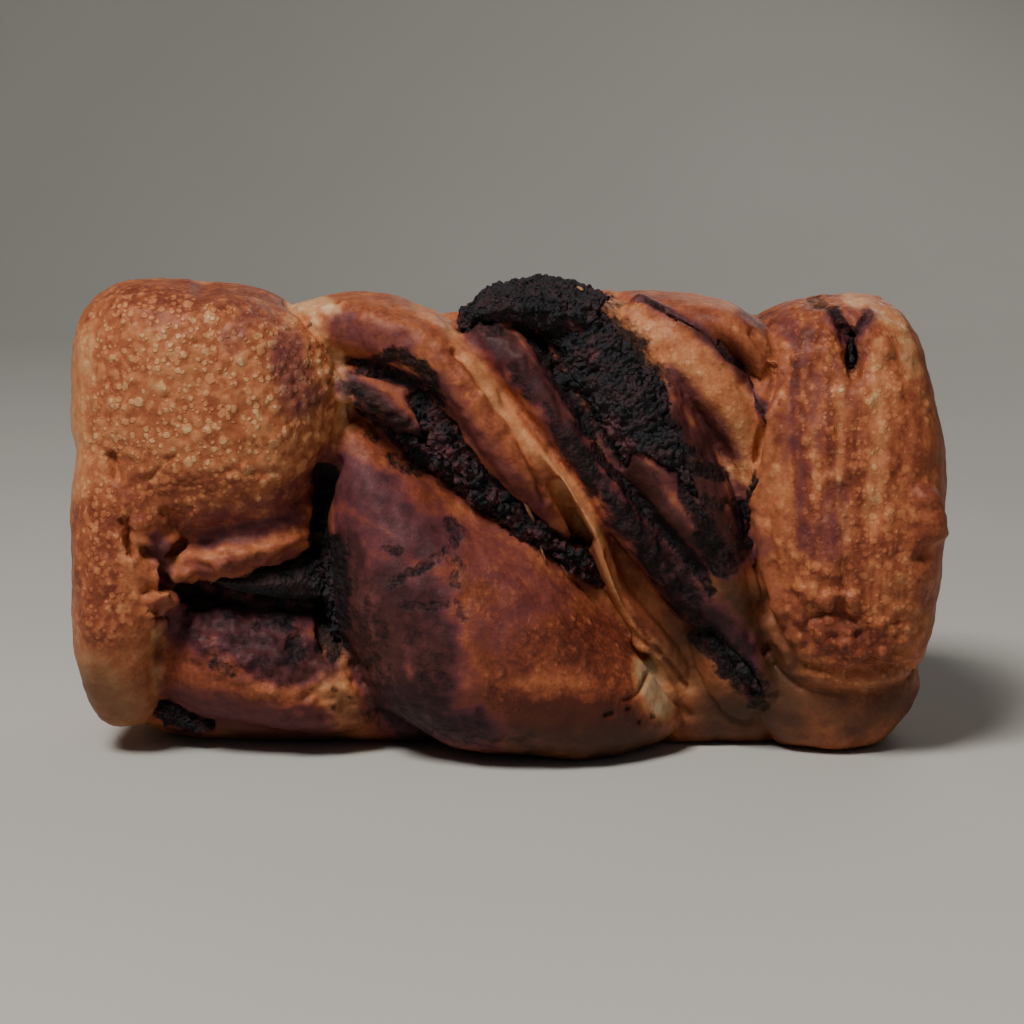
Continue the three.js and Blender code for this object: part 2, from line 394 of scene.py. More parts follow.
# %% Uneven dough
LUMPS = {18 * MM: 0.9 * MM, 7 * MM: 0.45 * MM, 2.6 * MM: 0.22 * MM}
SIDE_SHARE = 0.45
TOP_EDGE = (-14 * MM, 2 * MM)
CREASE_WIDTH = 1.9 * MM
CREASE_DEPTH = 1.1 * MM
SEED_STEP = (31.7, 17.9, 7.3)


def cloud(points, size, seed):
    """Soft noise from about -1 to 1, in patches of a size, one value for each point."""
    shift = Vector([seed * step for step in SEED_STEP])
    return np.array([noise.noise(Vector(point) + shift) for point in points / np.array(size)])


top = 1 - ramp(points[:, 1], *TOP_EDGE)
height = sum(tall * cloud(points, size, seed) for seed, (size, tall) in enumerate(LUMPS.items()))
height *= SIDE_SHARE + (1 - SIDE_SHARE) * top
height -= CREASE_DEPTH * top * (1 - ramp(crease_distances(points), 0, CREASE_WIDTH))
points = points + normals_of(loaf) * height[:, None]
put_points(loaf, points)
print("relief in mm:", round(height.min() / MM, 2), "to", round(height.max() / MM, 2))

# %% [markdown]
# The marks that make this loaf itself, such as pits, nubs, folds and torn bits, are pressed in or pulled
# out one by one. Each is a brush stroke: a path in pixels of the frame, half its width in pixels, and a
# depth in millimetres, below zero where it stands out. A stroke only touches the crust that faces the
# eye, and it fades out a little way down the tin sides.

# %% Brush strokes
SHOWN_FACING = (-0.1, 0.15)
SHOWN_Y = (-8 * MM, 8 * MM)
SHOWN_RAGGED = 9 * MM
EDGE_LUMPS = {9 * MM: 0.6, 3 * MM: 0.4}
EDGE_SEED = 11
LEAST_LENGTH = 1e-9

normals = normals_of(loaf)
seen = seen_at(points)
facing = normals @ np.array(away)
uneven_edge = sum(share * cloud(points, size, EDGE_SEED) for size, share in EDGE_LUMPS.items())
set_back = points[:, 1] + SHOWN_RAGGED * uneven_edge
shown = ramp(facing, *SHOWN_FACING) * (1 - ramp(set_back, *SHOWN_Y))


def path_reach(path):
    """How far from a path each point shows, in pixels."""
    nearest = np.full(len(seen), np.inf)
    for start, end in zip(path, path[1:] or path):
        start = np.array(start, float)
        along = np.array(end, float) - start
        share = np.clip((seen - start) @ along / max(along @ along, LEAST_LENGTH), 0, 1)
        nearest = np.minimum(nearest, np.linalg.norm(seen - start - share[:, None] * along, axis=1))
    return nearest


def stroke(path, width, soft=0.6, ragged=0.0):
    """How much a brush stroke covers each point: 1 along the path, 0 beyond its half width in pixels."""
    reach = path_reach(path) + ragged * width * uneven_edge
    return shown * (1 - ramp(reach, width * (1 - soft), width))


def count_of(values):
    """How many points have most of a mark."""
    return int((values > 0.5).sum())


print("points facing the eye:", count_of(shown))

# %% [markdown]
# The list of strokes goes from the right end to the left and then along the middle. A sculptor would do
# this with a dozen small tools. Here each stroke is one row, so a single pit can be moved without
# touching the rest.

# %% Pits, nubs and folds
PRESS_EDGE = {"soft": 0.9, "ragged": 0.25}
PRESSED = {
    "pit in the right end": ([(806, 624), (824, 614)], 9, 2.3),
    "pit beside it": ([(836, 612), (850, 622)], 10, 2.5),
    "small pit": ([(858, 636)], 9, 1.2),
    "lip over the pits": ([(806, 600), (838, 594), (866, 608)], 8, -1.2),
    "lump under the pits": ([(822, 642)], 9, -1.6),
    "second lump": ([(846, 646), (858, 650)], 8, -1.4),
    "third lump": ([(880, 630)], 9, -1.4),
    "line under the right end": ([(796, 666), (850, 675), (908, 668)], 8, 2.6),
    "nub on the right edge": ([(924, 498), (930, 530)], 18, -4.6),
    "notch under the nub": ([(924, 556)], 12, 2.0),
    "tear": ([(850, 332), (851, 366)], 5, 1.0),
    "tear arm": ([(832, 312), (842, 326), (850, 338)], 5, 1.2),
    "other tear arm": ([(870, 314), (860, 326), (851, 338)], 5, 1.0),
    "flap beside the tear": ([(868, 334), (884, 350)], 10, -1.2),
    "left pit": ([(111, 455), (117, 480)], 6, 2.4),
    "left crack": ([(175, 455), (163, 463), (150, 478)], 5, 0.8),
    "dip on the left top": ([(203, 284)], 16, 1.4),
    "line right of the lobe": ([(286, 302), (306, 322), (331, 350), (349, 386), (352, 420)], 5, 1.2),
    "wrinkle": ([(140, 492), (172, 485), (200, 486)], 5, 0.5),
    "wrinkle beside": ([(226, 470), (262, 474), (296, 466)], 5, 0.4),
    "crevice": ([(334, 462), (322, 500), (317, 540), (319, 590), (324, 645)], 10, 3.0),
    "torn slit": ([(124, 522), (128, 540), (132, 556)], 6, 3.4),
    "torn hole": ([(148, 552), (156, 556)], 8, 4.0),
    "torn hole above": ([(170, 550), (179, 543)], 9, 4.0),
    "torn hole below": ([(162, 568), (164, 588)], 8, 4.0),
    "torn flap": ([(198, 510), (178, 527), (164, 546), (153, 566), (152, 582), (158, 593)], 5, -2.2),
    "torn ledge": ([(172, 578), (188, 574)], 7, -1.4),
    "torn nub": ([(150, 600), (160, 596), (172, 604)], 10, -2.2),
    "leg of the nub": ([(146, 608), (150, 622)], 6, -2.0),
    "other leg": ([(176, 606), (177, 620)], 6, -2.0),
    "under the nub": ([(158, 620), (168, 620)], 8, 3.0),
    "orange nub on the lip": ([(218, 566), (226, 560)], 5, -1.6),
    "dent on the lip": ([(262, 556), (290, 550)], 9, 0.8),
    "curl on the wedge's tip": ([(632, 638), (648, 646)], 8, -2.2),
    "crack in the tip": ([(624, 701), (640, 692), (648, 674)], 4, 1.2),
    "hole in the tip": ([(606, 716), (612, 714)], 4, 1.2),
    "second hole": ([(629, 709)], 4, 1.2),
    "third hole": ([(640, 722)], 4, 1.0),
    "fourth hole": ([(653, 716)], 4, 1.2),
    "crease right of the tip": ([(640, 650), (664, 684), (690, 716)], 5, 1.8),
    "groove beside the ridge": ([(456, 350), (485, 387), (517, 433), (534, 470), (545, 500)], 5, 1.8),
    "pocket beside the ridge": ([(556, 484), (572, 515), (586, 540)], 10, 2.6),
    "groove in the ridge": ([(606, 552), (626, 606), (648, 640), (688, 686)], 3, 1.2),
    "gold slit, pressed shut": ([(640, 304), (700, 331), (722, 361), (746, 380), (765, 416)], 11, -2.6),
    "gold slit, its line": ([(640, 304), (700, 331), (722, 361), (746, 380), (765, 416)], 4, 1.4),
    "edge of the right end": ([(752, 332), (772, 360), (768, 400), (757, 462)], 6, 1.8),
    "gap beside the right end": ([(757, 470), (750, 515), (752, 560), (757, 594)], 8, -2.4),
    "lower edge of the right end": ([(753, 566), (766, 612), (792, 660)], 7, 1.8),
    "rim of the right end": ([(778, 400), (768, 462), (760, 515), (766, 566), (782, 612)], 9, -1.4),
}

press = np.zeros(len(points))
for path, width, depth in PRESSED.values():
    press += depth * MM * stroke(path, width, **PRESS_EDGE)
points = points - normals * press[:, None]
put_points(loaf, points)
print("strokes pressed:", len(PRESSED))

# %% [markdown]
# The dough tore where the strands pulled apart, it wrinkled where a roll folded, and long streaks run
# down the right end. These follow a direction, so their noise is stretched along it. A row has a path,
# half its width in pixels, the noise's size along the three axes and its height, both in millimetres.

# %% Wrinkles, streaks and torn seams
FOLD_SEED = 20
STRETCHED = {
    "left end": ([(130, 340), (230, 360), (300, 400)], 90, (2.2, 2.2, 1.9), 0.42),
    "tube in the slit": ([(352, 386), (428, 448)], 24, (5, 4, 1.8), 1.4),
    "wrinkled fold": ([(150, 500), (215, 500), (290, 500)], 45, (6, 5, 2.4), 0.75),
    "fine wrinkles": ([(140, 440), (230, 430), (300, 440)], 40, (5, 5, 1.9), 0.4),
    "rough lip": ([(196, 570), (250, 562), (312, 550)], 26, (5, 4, 2.4), 1.5),
    "torn seam": ([(128, 530), (150, 560), (160, 610)], 30, (2.6, 2.6, 3.6), 1.8),
    "left roll": ([(200, 620), (330, 690)], 60, (4, 4, 2.6), 1.4),
    "left roll, rough": ([(190, 610), (260, 660), (330, 690)], 60, (1.9, 1.9, 1.9), 0.8),
    "right streaks": ([(820, 380), (840, 560)], 75, (3.4, 6, 11), 0.95),
    "right end, rough": ([(860, 330), (850, 480), (860, 640)], 90, (3.2, 3.2, 3.6), 0.35),
    "right end": ([(850, 330), (860, 560)], 90, (3.6, 3.6, 5), 0.75),
    "right end, bark": ([(830, 350), (840, 480), (864, 600)], 86, (1.8, 3, 5), 0.42),
    "right foot": ([(800, 620), (880, 640)], 48, (4, 4, 2.8), 2.0),
    "gold strands": ([(620, 320), (700, 390), (740, 470)], 40, (6, 6, 9), 0.7),
    "crust of the roll": ([(490, 330), (560, 440), (680, 590)], 26, (3, 3, 4.5), 0.9),
    "upper wedge": ([(350, 318), (430, 340), (540, 490)], 36, (3.4, 3.4, 4.4), 0.7),
    "wedge": ([(380, 500), (470, 590), (600, 660)], 80, (4, 5, 5), 0.4),
}

folds = np.zeros(len(points))
for seed, (path, width, size, depth) in enumerate(STRETCHED.values(), start=FOLD_SEED):
    folds += depth * MM * stroke(path, width) * cloud(points, np.array(size) * MM, seed)
points = points + normals_of(loaf) * folds[:, None]
put_points(loaf, points)
print("deepest fold in mm:", round(-folds.min() / MM, 2))

# %% [markdown]
# A slow dough with a wet skin bakes with blisters: thin pale domes from one millimetre to four across,
# crowded on the left end and looser on the right. Most are scattered at random, from a fixed seed, and
# the largest are placed one by one. Each is a small dome pulled out of the skin. Its height is kept as
# a mark too, because a blister bakes paler.

# %% Blisters
BLISTERS = {
    "left end": {"from": (85, 292), "to": (345, 470), "count": 560, "radius": (0.7, 1.5)},
    "left column": {"from": (78, 470), "to": (135, 640), "count": 90, "radius": (0.6, 1.2)},
    "grains on the column": {"from": (100, 578), "to": (134, 630), "count": 45, "radius": (0.5, 0.9)},
    "left fold": {"from": (140, 460), "to": (310, 530), "count": 110, "radius": (0.6, 1.1)},
    "right end": {"from": (765, 310), "to": (930, 650), "count": 150, "radius": (0.5, 1.5)},
    "upper wedge": {"from": (350, 305), "to": (520, 470), "count": 30, "radius": (0.6, 1.0)},
    "lower wedge": {"from": (480, 560), "to": (660, 700), "count": 40, "radius": (0.5, 0.9)},
    "gold strands": {"from": (610, 310), "to": (750, 480), "count": 40, "radius": (0.5, 0.9)},
}
BIG_BLISTERS = {
    (181, 374): 1.9, (170, 368): 1.3, (190, 381): 1.4, (131, 311): 1.5, (160, 288): 1.5, (165, 331): 1.6,
    (244, 338): 1.8, (306, 343): 1.6, (305, 361): 1.4, (288, 378): 1.5, (293, 405): 1.7, (268, 381): 1.3,
    (318, 352): 1.2, (355, 425): 1.3, (336, 470): 1.5, (465, 415): 1.5, (905, 470): 1.3, (838, 480): 1.6,
    (793, 356): 1.4, (812, 388): 1.3, (806, 440): 1.7, (813, 456): 1.3, (818, 486): 1.4, (842, 392): 1.2,
    (870, 402): 1.5, (884, 424): 1.3, (826, 522): 1.4, (857, 532): 1.2, (905, 562): 1.3, (779, 428): 1.2,
    (203, 392): 1.4, (232, 404): 1.5, (140, 352): 1.4, (214, 318): 1.3, (260, 424): 1.4, (118, 386): 1.2,
}
BLISTER_RISE = 0.4
BLISTER_SEED = 4


def tree_of(piece):
    """The faces of a piece, to look up by place or by ray."""
    faces = [tuple(polygon.vertices) for polygon in piece.data.polygons]
    return BVHTree.FromPolygons(points_of(piece).tolist(), faces)


def raise_blister(pixel, radius):
    """Notes a dome on the crust that shows at a pixel, of a radius in millimetres."""
    place = crust.ray_cast(EYE, sight_line(pixel))[0]
    if place is None:
        return
    for _, index, reach in crust_points.find_range(place, radius * MM):
        dome = 1 - (reach / (radius * MM)) ** 2
        domes[index] = max(domes[index], BLISTER_RISE * radius * MM * dome)
        pale_dome[index] = max(pale_dome[index], dome)


crust = tree_of(loaf)
crust_points = lookup(points)
domes = np.zeros(len(points))
pale_dome = np.zeros(len(points))
scatter = random.Random(BLISTER_SEED)
for zone in BLISTERS.values():
    for _ in range(zone["count"]):
        pixel = [scatter.uniform(low, high) for low, high in zip(zone["from"], zone["to"])]
        raise_blister(pixel, scatter.uniform(*zone["radius"]))
for pixel, radius in BIG_BLISTERS.items():
    raise_blister(pixel, radius)
points = points + normals_of(loaf) * domes[:, None]
put_points(loaf, points)
print("points on a blister:", int((pale_dome > 0).sum()))

# %% [markdown]
# Now what the oven and the filling did to the colour. A few numbers are kept for each point of the skin.
# The first is how far it is baked, from cream at 0 to dark brown at 1. It is painted with the same kind
# of brush strokes, each with the tone that it gives, and a later row lies over an earlier one. Low on the
# loaf, in the recess over the lip and under the tongue, some rows also darken the tone as painted shade.
# The material turns these marks into colour, with finer noise of its own at every edge.

# %% How far the dough is baked, with some painted shade low down
SIDE_BAKE = 0.30
BASE_BAKE = 0.62
BASE_Y = (38 * MM, 49 * MM)
TOP_BAKE = 0.55
BAKE_EDGE = {"soft": 0.7, "ragged": 0.3}
BAKED = {
    "left end": ([(130, 340), (140, 430), (230, 350), (230, 440), (300, 360), (300, 450)], 80, 0.58),
    "left top": ([(120, 302), (200, 292), (270, 306)], 26, 0.72),
    "left edge": ([(82, 340), (76, 420), (76, 490)], 18, 0.36),
    "left fold": ([(140, 505), (210, 505), (285, 505)], 42, 0.72),
    "left column": ([(95, 520), (98, 580), (104, 630)], 34, 0.73),
    # The left foot's tone is darker than its cream dough: painted shade under the loaf.
    "left foot": ([(92, 676), (118, 708)], 36, 0.30),
    "cream fold beside the foot": ([(158, 632), (158, 690)], 9, 0.14),
    # The recess over the lip and the strip under the tongue are darker partly as painted shade.
    "recess over the lip": ([(200, 540), (250, 530), (300, 516)], 14, 0.8),
    "lip": ([(190, 570), (240, 564), (305, 550)], 15, 0.64),
    "under the tongue": ([(186, 600), (240, 606), (318, 614)], 24, 0.92),
    "left roll": ([(200, 650), (290, 640)], 45, 0.86),
    # Low on the left roll the tone is darker partly as painted shade towards the bottom.
    "left roll, low": ([(176, 690), (250, 714), (310, 724)], 30, 0.92),
    "left roll, orange": ([(166, 656), (190, 676), (240, 684)], 18, 0.72),
    "left roll, tip": ([(328, 680), (340, 706)], 25, 0.40),
    "strip beside the left end": ([(300, 305), (335, 340), (345, 400), (342, 450)], 12, 0.24),
    "upper wedge": ([(352, 322), (420, 330), (460, 390), (500, 440), (545, 500)], 40, 0.68),
    "upper wedge, edge": ([(466, 352), (500, 408), (540, 464)], 8, 0.40),
    "upper wedge, pale corner": ([(296, 306), (318, 300), (334, 312)], 11, 0.16),
    "upper wedge, golden end": ([(418, 306), (446, 324), (464, 350)], 11, 0.42),
    "pocket": ([(560, 490), (580, 530)], 16, 0.30),
    "lower wedge": ([(370, 490), (430, 570), (520, 620)], 90, 0.78),
    # The lower wedge's right side and foot are darker partly as painted shade towards the bottom.
    "lower wedge, right": ([(500, 640), (560, 640), (620, 650)], 55, 0.85),
    "lower wedge, foot": ([(400, 712), (480, 716), (560, 720), (620, 730)], 46, 1.0),
    "lower wedge, tip": ([(648, 668), (660, 704)], 22, 0.05),
    "ridge": ([(470, 357), (515, 420), (583, 500), (625, 615), (690, 690)], 9, 0.34),
    "groove in the ridge": ([(606, 552), (626, 606), (648, 640), (688, 686)], 4, 0.62),
    "ridge, brown side": ([(520, 412), (548, 448)], 8, 0.6),
    "roll": ([(490, 335), (530, 385), (585, 455), (640, 530), (690, 600)], 26, 0.72),
    "gold strand": ([(600, 312), (660, 340), (720, 400), (742, 470)], 38, 0.44),
    "gold edge": ([(640, 300), (710, 322), (760, 378)], 20, 0.70),
    "right end": ([(820, 340), (850, 450), (850, 570)], 95, 0.67),
    "right end, golden bands": ([(878, 350), (880, 440), (870, 530)], 14, 0.44),
    "right end, golden line": ([(842, 390), (840, 480), (846, 540)], 6, 0.48),
    "right end, second line": ([(814, 400), (816, 500)], 5, 0.50),
    "right end, dark band": ([(798, 345), (800, 450), (806, 545)], 11, 0.82),
    "right end, dark line": ([(828, 380), (830, 470), (834, 540)], 6, 0.80),
    "right end, brown band": ([(858, 400), (856, 480), (862, 560)], 7, 0.74),
    "right end, edge": ([(908, 400), (920, 480), (922, 600)], 12, 0.72),
    "right end, red top": ([(745, 316), (780, 322), (806, 336)], 16, 0.82),
    "right end, low": ([(800, 620), (870, 650)], 38, 0.76),
    "right rim": ([(850, 300), (898, 322), (914, 370)], 12, 0.30),
    # The right foot and the web are darker than their cream dough, partly as painted shade under the loaf.
    "right foot": ([(800, 698), (860, 722), (905, 694)], 28, 0.60),
    "web": ([(700, 640), (728, 600), (756, 660), (790, 712), (730, 716)], 34, 0.62),
    "web, low": ([(690, 732), (760, 738)], 16, 0.7),
}

bake = SIDE_BAKE + (TOP_BAKE - SIDE_BAKE) * top
bake += (BASE_BAKE - bake) * ramp(points[:, 1], *BASE_Y)
for path, width, tone in BAKED.values():
    bake += (tone - bake) * stroke(path, width, **BAKE_EDGE)
print("bake:", round(bake.min(), 2), "to", round(bake.max(), 2))

# %% [markdown]
# Filling that melted out of the seams has spread over the crust and baked on as a thin film, mauve where
# it is thin and plum where it is thick. On the right end it ran down in streaks, so there the film is
# broken up by noise stretched along the loaf's height. Under the tongue, in the recess over the lip and
# below the wedge the dark film is partly painted shade.

# %% Film of melted filling
FILM_EDGE = {"soft": 0.8, "ragged": 0.45}
FILM = {
    "left end": ([(284, 350), (304, 396)], 36, 0.62),
    "left end, upper": ([(232, 338), (256, 314)], 22, 0.5),
    "left fold": ([(190, 525), (250, 518), (295, 500)], 34, 0.55),
    "torn seam": ([(158, 545), (166, 580)], 18, 0.8),
    "lip": ([(200, 572), (240, 566), (310, 556)], 16, 0.52),
    # Under the tongue and in the recess over the lip this film is partly painted shade.
    "under the tongue": ([(186, 600), (240, 606), (318, 614)], 26, 1.1),
    "recess over the lip": ([(205, 538), (250, 530), (295, 518)], 17, 0.75),
    "left roll": ([(190, 608), (250, 640), (310, 660)], 54, 0.95),
    "left roll, low": ([(176, 700), (250, 716), (320, 724)], 28, 0.7),
    "left roll, right half": ([(258, 664), (304, 672)], 28, 0.95),
    "wedge, upper left": ([(345, 480), (400, 520), (440, 540)], 54, 0.86),
    "wedge, middle": ([(470, 540), (540, 590), (500, 620)], 52, 0.56),
    "wedge, stained": ([(372, 590), (420, 600), (436, 660), (420, 720)], 58, 1.0),
    "wedge, between": ([(346, 522), (404, 550)], 30, 0.8),
    "wedge, low": ([(384, 620), (392, 660), (404, 700)], 36, 1.0),
    "wedge, left edge": ([(346, 540), (352, 620), (384, 696)], 34, 1.1),
    # Below the wedge this film is partly painted shade towards the bottom.
    "wedge, below": ([(394, 708), (440, 724), (490, 732)], 34, 1.0),
    "round the tear": ([(834, 314), (850, 345), (868, 316)], 14, 0.85),
    "upper wedge, corner": ([(342, 326), (398, 346)], 28, 0.66),
    "upper wedge, lip": ([(436, 384), (500, 470), (540, 510)], 22, 0.66),
    "tube in the slit": ([(350, 386), (430, 448)], 26, 1.0),
    "roll": ([(478, 330), (505, 345), (545, 400), (600, 480), (660, 560), (700, 610)], 32, 1.0),
    "roll, right edge": ([(520, 324), (550, 372), (584, 424)], 17, 1.0),
    "beside the char": ([(672, 376), (700, 414), (730, 454)], 22, 0.78),
    "inside the arch": ([(380, 370), (418, 384)], 17, 1.0),
    "under the char": ([(560, 320), (640, 400), (690, 470), (728, 540)], 54, 1.0),
    "beside the cleft": ([(590, 420), (640, 480), (700, 560)], 30, 1.0),
    "lower rolls": ([(620, 520), (690, 590), (740, 660)], 34, 1.0),
    "gold slit line": ([(640, 302), (700, 330), (724, 362), (744, 380), (765, 414)], 11, 1.0),
    "right low": ([(806, 622), (858, 632)], 14, 0.28),
}
FILM_STREAKS = {
    "right end": ([(792, 330), (798, 420), (804, 540)], 30, 0.56),
    "right end, middle": ([(826, 370), (830, 450), (834, 545)], 28, 0.58),
    "right end, beside the tear": ([(862, 330), (852, 400)], 18, 0.5),
    "right end, top": ([(780, 306), (850, 314)], 20, 0.5),
}
STREAK_SIZE = (3.2 * MM, 6 * MM, 12 * MM)
STREAK_EDGE = (-0.3, 0.3)
STREAK_SEED = 51


def painted(strokes, **edge):
    """The strongest of some strokes at each point. A row has a path, half its width and an amount."""
    values = np.zeros(len(points))
    for path, width, amount in strokes.values():
        values = np.maximum(values, amount * stroke(path, width, **edge))
    return values


streaks = ramp(cloud(points, STREAK_SIZE, STREAK_SEED), *STREAK_EDGE)
film = np.maximum(painted(FILM, **FILM_EDGE), streaks * painted(FILM_STREAKS, **FILM_EDGE))
print("points under a film:", count_of(film))

# %% [markdown]
# In places the dough has closed over the filling again, as on the back of the top edge, and it leaves a
# thin dark line or one lump open. These strokes say where. How far each point is from the nearest
# filling is measured too, because film and char are thickest right beside it.

# %% Where the filling lies open
BACK_EDGE = (-16 * MM, -11 * MM)
BACK_RAGGED = 9 * MM
COVER_EDGE = {"soft": 0.3, "ragged": 0.6}
COVERED = {
    "right part of the char": ([(700, 410), (720, 470), (745, 560)], 36, 1.0),
    "below the char": ([(640, 480), (690, 520), (730, 580)], 30, 1.0),
    "edge of the char": ([(612, 306), (668, 372), (720, 436)], 12, 1.0),
    "lower rolls": ([(630, 500), (690, 580), (720, 640), (776, 704)], 40, 1.0),
    "gold slit": ([(640, 300), (700, 330), (730, 370), (770, 425)], 20, 1.0),
    "tear": ([(840, 300), (850, 380)], 30, 1.0),
}
OPEN_EDGE = {"soft": 0.4, "ragged": 0.3}
OPENED = {
    "end lump": ([(706, 640), (742, 678), (752, 690)], 13, 1.0),
    "line in the gold slit": ([(700, 331), (722, 361), (746, 380), (765, 416)], 2, 1.0),
    "line in the tear": ([(851, 334), (851, 362)], 3, 1.0),
}
FILL_REACH = 7 * MM


def filling_distances(points):
    """How far each point is from the nearest filling, up to FILL_REACH."""
    solid = merged(FILLINGS)
    tree = BVHTree.FromBMesh(solid)
    solid.free()
    return np.array([tree.find_nearest(point, FILL_REACH)[3] or FILL_REACH for point in points.tolist()])


covered = ramp(points[:, 1] + BACK_RAGGED * uneven_edge, *BACK_EDGE)
covered = np.maximum(covered, painted(COVERED, **COVER_EDGE)) * (1 - painted(OPENED, **OPEN_EDGE))
to_filling = filling_distances(points)
print("points that closed over:", count_of(covered))

# %% [markdown]
# Where filling lay open on the crust it charred. The rows are smudges on the dough, and the thick char at
# the top, which is filling itself. Some rows are partly painted shade: the crevice, the cleft, the right
# crease and the band under the wedge. A few patches in the char have stayed bare. Right beside open
# filling the dough always has some soot, and a little further out a film.

# %% Char
SOOT_EDGE = {"soft": 0.7, "ragged": 0.5}
SOOT = {
    "stain a": ([(392, 458), (418, 470)], 12, 0.62),
    "stain b": ([(368, 434), (376, 440)], 9, 0.6),
    "stain c": ([(450, 520), (460, 531), (454, 546)], 11, 0.55),
    "stain d": ([(386, 548), (400, 552)], 9, 0.55),
    "stain e": ([(392, 584), (420, 570), (444, 554)], 10, 0.66),
    "stain f": ([(446, 556), (461, 566), (455, 584)], 11, 0.52),
    "stain g": ([(404, 606), (446, 608)], 10, 0.5),
    "stain h": ([(456, 604), (464, 620)], 9, 0.5),
    "stain i": ([(362, 600), (372, 640), (384, 680)], 28, 0.42),
    "stain j": ([(416, 640), (440, 690)], 30, 0.36),
    # Painted shade: a grey-black band along the foot of the wedge.
    "band under the wedge": ([(376, 712), (440, 728), (520, 738)], 28, 0.34),
    "left roll": ([(282, 612), (298, 650)], 20, 0.65),
    "left roll, upper": ([(190, 596), (260, 616)], 20, 0.5),
    "left roll, middle": ([(210, 640), (280, 670)], 34, 0.36),
    "left roll, spot": ([(216, 664), (232, 670)], 14, 0.55),
    "hole in the tip": ([(606, 716), (612, 714)], 5, 0.6),
    "second hole": ([(629, 709)], 5, 0.6),
    "third hole": ([(640, 722)], 5, 0.55),
    "fourth hole": ([(653, 716)], 5, 0.6),
    "tip speck a": ([(312, 690)], 7, 0.6),
    "tip speck b": ([(334, 690)], 7, 0.6),
    "tip speck c": ([(334, 706)], 7, 0.6),
    "tip speck d": ([(350, 698)], 6, 0.6),
    "foot of the roll": ([(168, 720), (196, 734)], 14, 0.6),
    # The crevice's black is partly painted shade deep in the groove and partly char.
    "crevice": ([(322, 470), (320, 540), (322, 648)], 12, 1.0),
    "crumbly wall": ([(334, 548), (338, 600), (334, 652)], 22, 0.85),
    "beside the wall": ([(350, 556), (356, 606), (350, 650)], 12, 0.36),
    "tube": ([(354, 390), (426, 448)], 19, 0.56),
    "over the tube": ([(362, 368), (392, 354), (424, 370), (438, 402)], 13, 0.78),
    "roll, right edge": ([(528, 332), (556, 380), (588, 432)], 11, 0.6),
    "beside the char": ([(684, 396), (706, 420), (726, 446)], 15, 0.3),
    "inside the arch": ([(392, 374), (418, 386)], 15, 0.72),
    "tube, edge": ([(356, 404), (426, 456)], 9, 0.7),
    "roll, head": ([(472, 320), (500, 316), (528, 330)], 10, 0.6),
    "roll, low": ([(572, 450), (648, 550), (692, 612)], 25, 0.66),
    "roll, streak a": ([(484, 332), (504, 330)], 11, 0.55),
    "roll, streak b": ([(512, 368), (526, 394)], 13, 0.55),
    "roll, streak c": ([(544, 408), (586, 470)], 12, 0.52),
    "char": ([(545, 300), (600, 330), (640, 390), (676, 440)], 50, 0.85),
    "char, bare": ([(640, 400), (690, 470)], 26, 0.5),
    "char patch a": ([(688, 468), (720, 474)], 16, 0.75),
    "char patch b": ([(684, 490), (692, 508)], 14, 0.7),
    "char patch c": ([(708, 502), (732, 504)], 13, 0.7),
    "char patch d": ([(740, 508), (742, 544)], 11, 0.75),
    "char patch e": ([(698, 520), (710, 522)], 11, 0.6),
    "char patch f": ([(704, 534), (724, 566)], 20, 0.68),
    # Along the cleft the black is partly painted shade in the groove and partly open filling.
    "cleft": ([(515, 318), (552, 362), (580, 410), (605, 465), (640, 502), (684, 550), (712, 592)], 10, 0.95),
    "lower rolls": ([(640, 520), (700, 600)], 26, 0.5),
    "end lump": ([(700, 634), (740, 676), (758, 692)], 24, 0.72),
    "gold hole": ([(767, 420)], 7, 0.9),
    "gold slit": ([(648, 306), (704, 334), (722, 362), (744, 380), (764, 414)], 5, 0.6),
    # Painted shade along the step at the edge of the right end.
    "right crease": ([(756, 470), (748, 515), (753, 564)], 6, 0.8),
    "tear": ([(851, 330), (851, 364)], 8, 0.62),
    "tear arm": ([(834, 312), (850, 334)], 8, 0.55),
    "other tear arm": ([(870, 314), (852, 334)], 7, 0.6),
    "right top streak": ([(812, 300), (836, 312)], 10, 0.6),
    "left speck a": ([(309, 324)], 5, 0.7),
    "left speck b": ([(329, 382)], 4, 0.65),
}
BARE_EDGE = {"ragged": 0.4}
BARE = {
    "mauve patch": ([(576, 330), (592, 352)], 16, 1.0),
    "red patch": ([(612, 424), (630, 452)], 18, 1.0),
    "pink patch": ([(676, 400), (696, 422)], 18, 1.0),
    "pink patch below": ([(696, 432), (722, 452)], 18, 1.0),
}
BARE_SHARE = 0.75
SOOT_BESIDE = 0.85
SOOT_REACH = (0.8 * MM, 2 * MM)
FILM_BESIDE = 0.6
FILM_REACH = (0.8 * MM, 4.2 * MM)

bare = painted(BARE, **BARE_EDGE)
beside = (1 - covered) * SOOT_BESIDE * (1 - ramp(to_filling, *SOOT_REACH))
soot = np.maximum(painted(SOOT, **SOOT_EDGE), beside) * (1 - BARE_SHARE * bare)
film = np.maximum(film, (1 - covered) * FILM_BESIDE * (1 - ramp(to_filling, *FILM_REACH)) * top)
print("charred points:", count_of(soot))
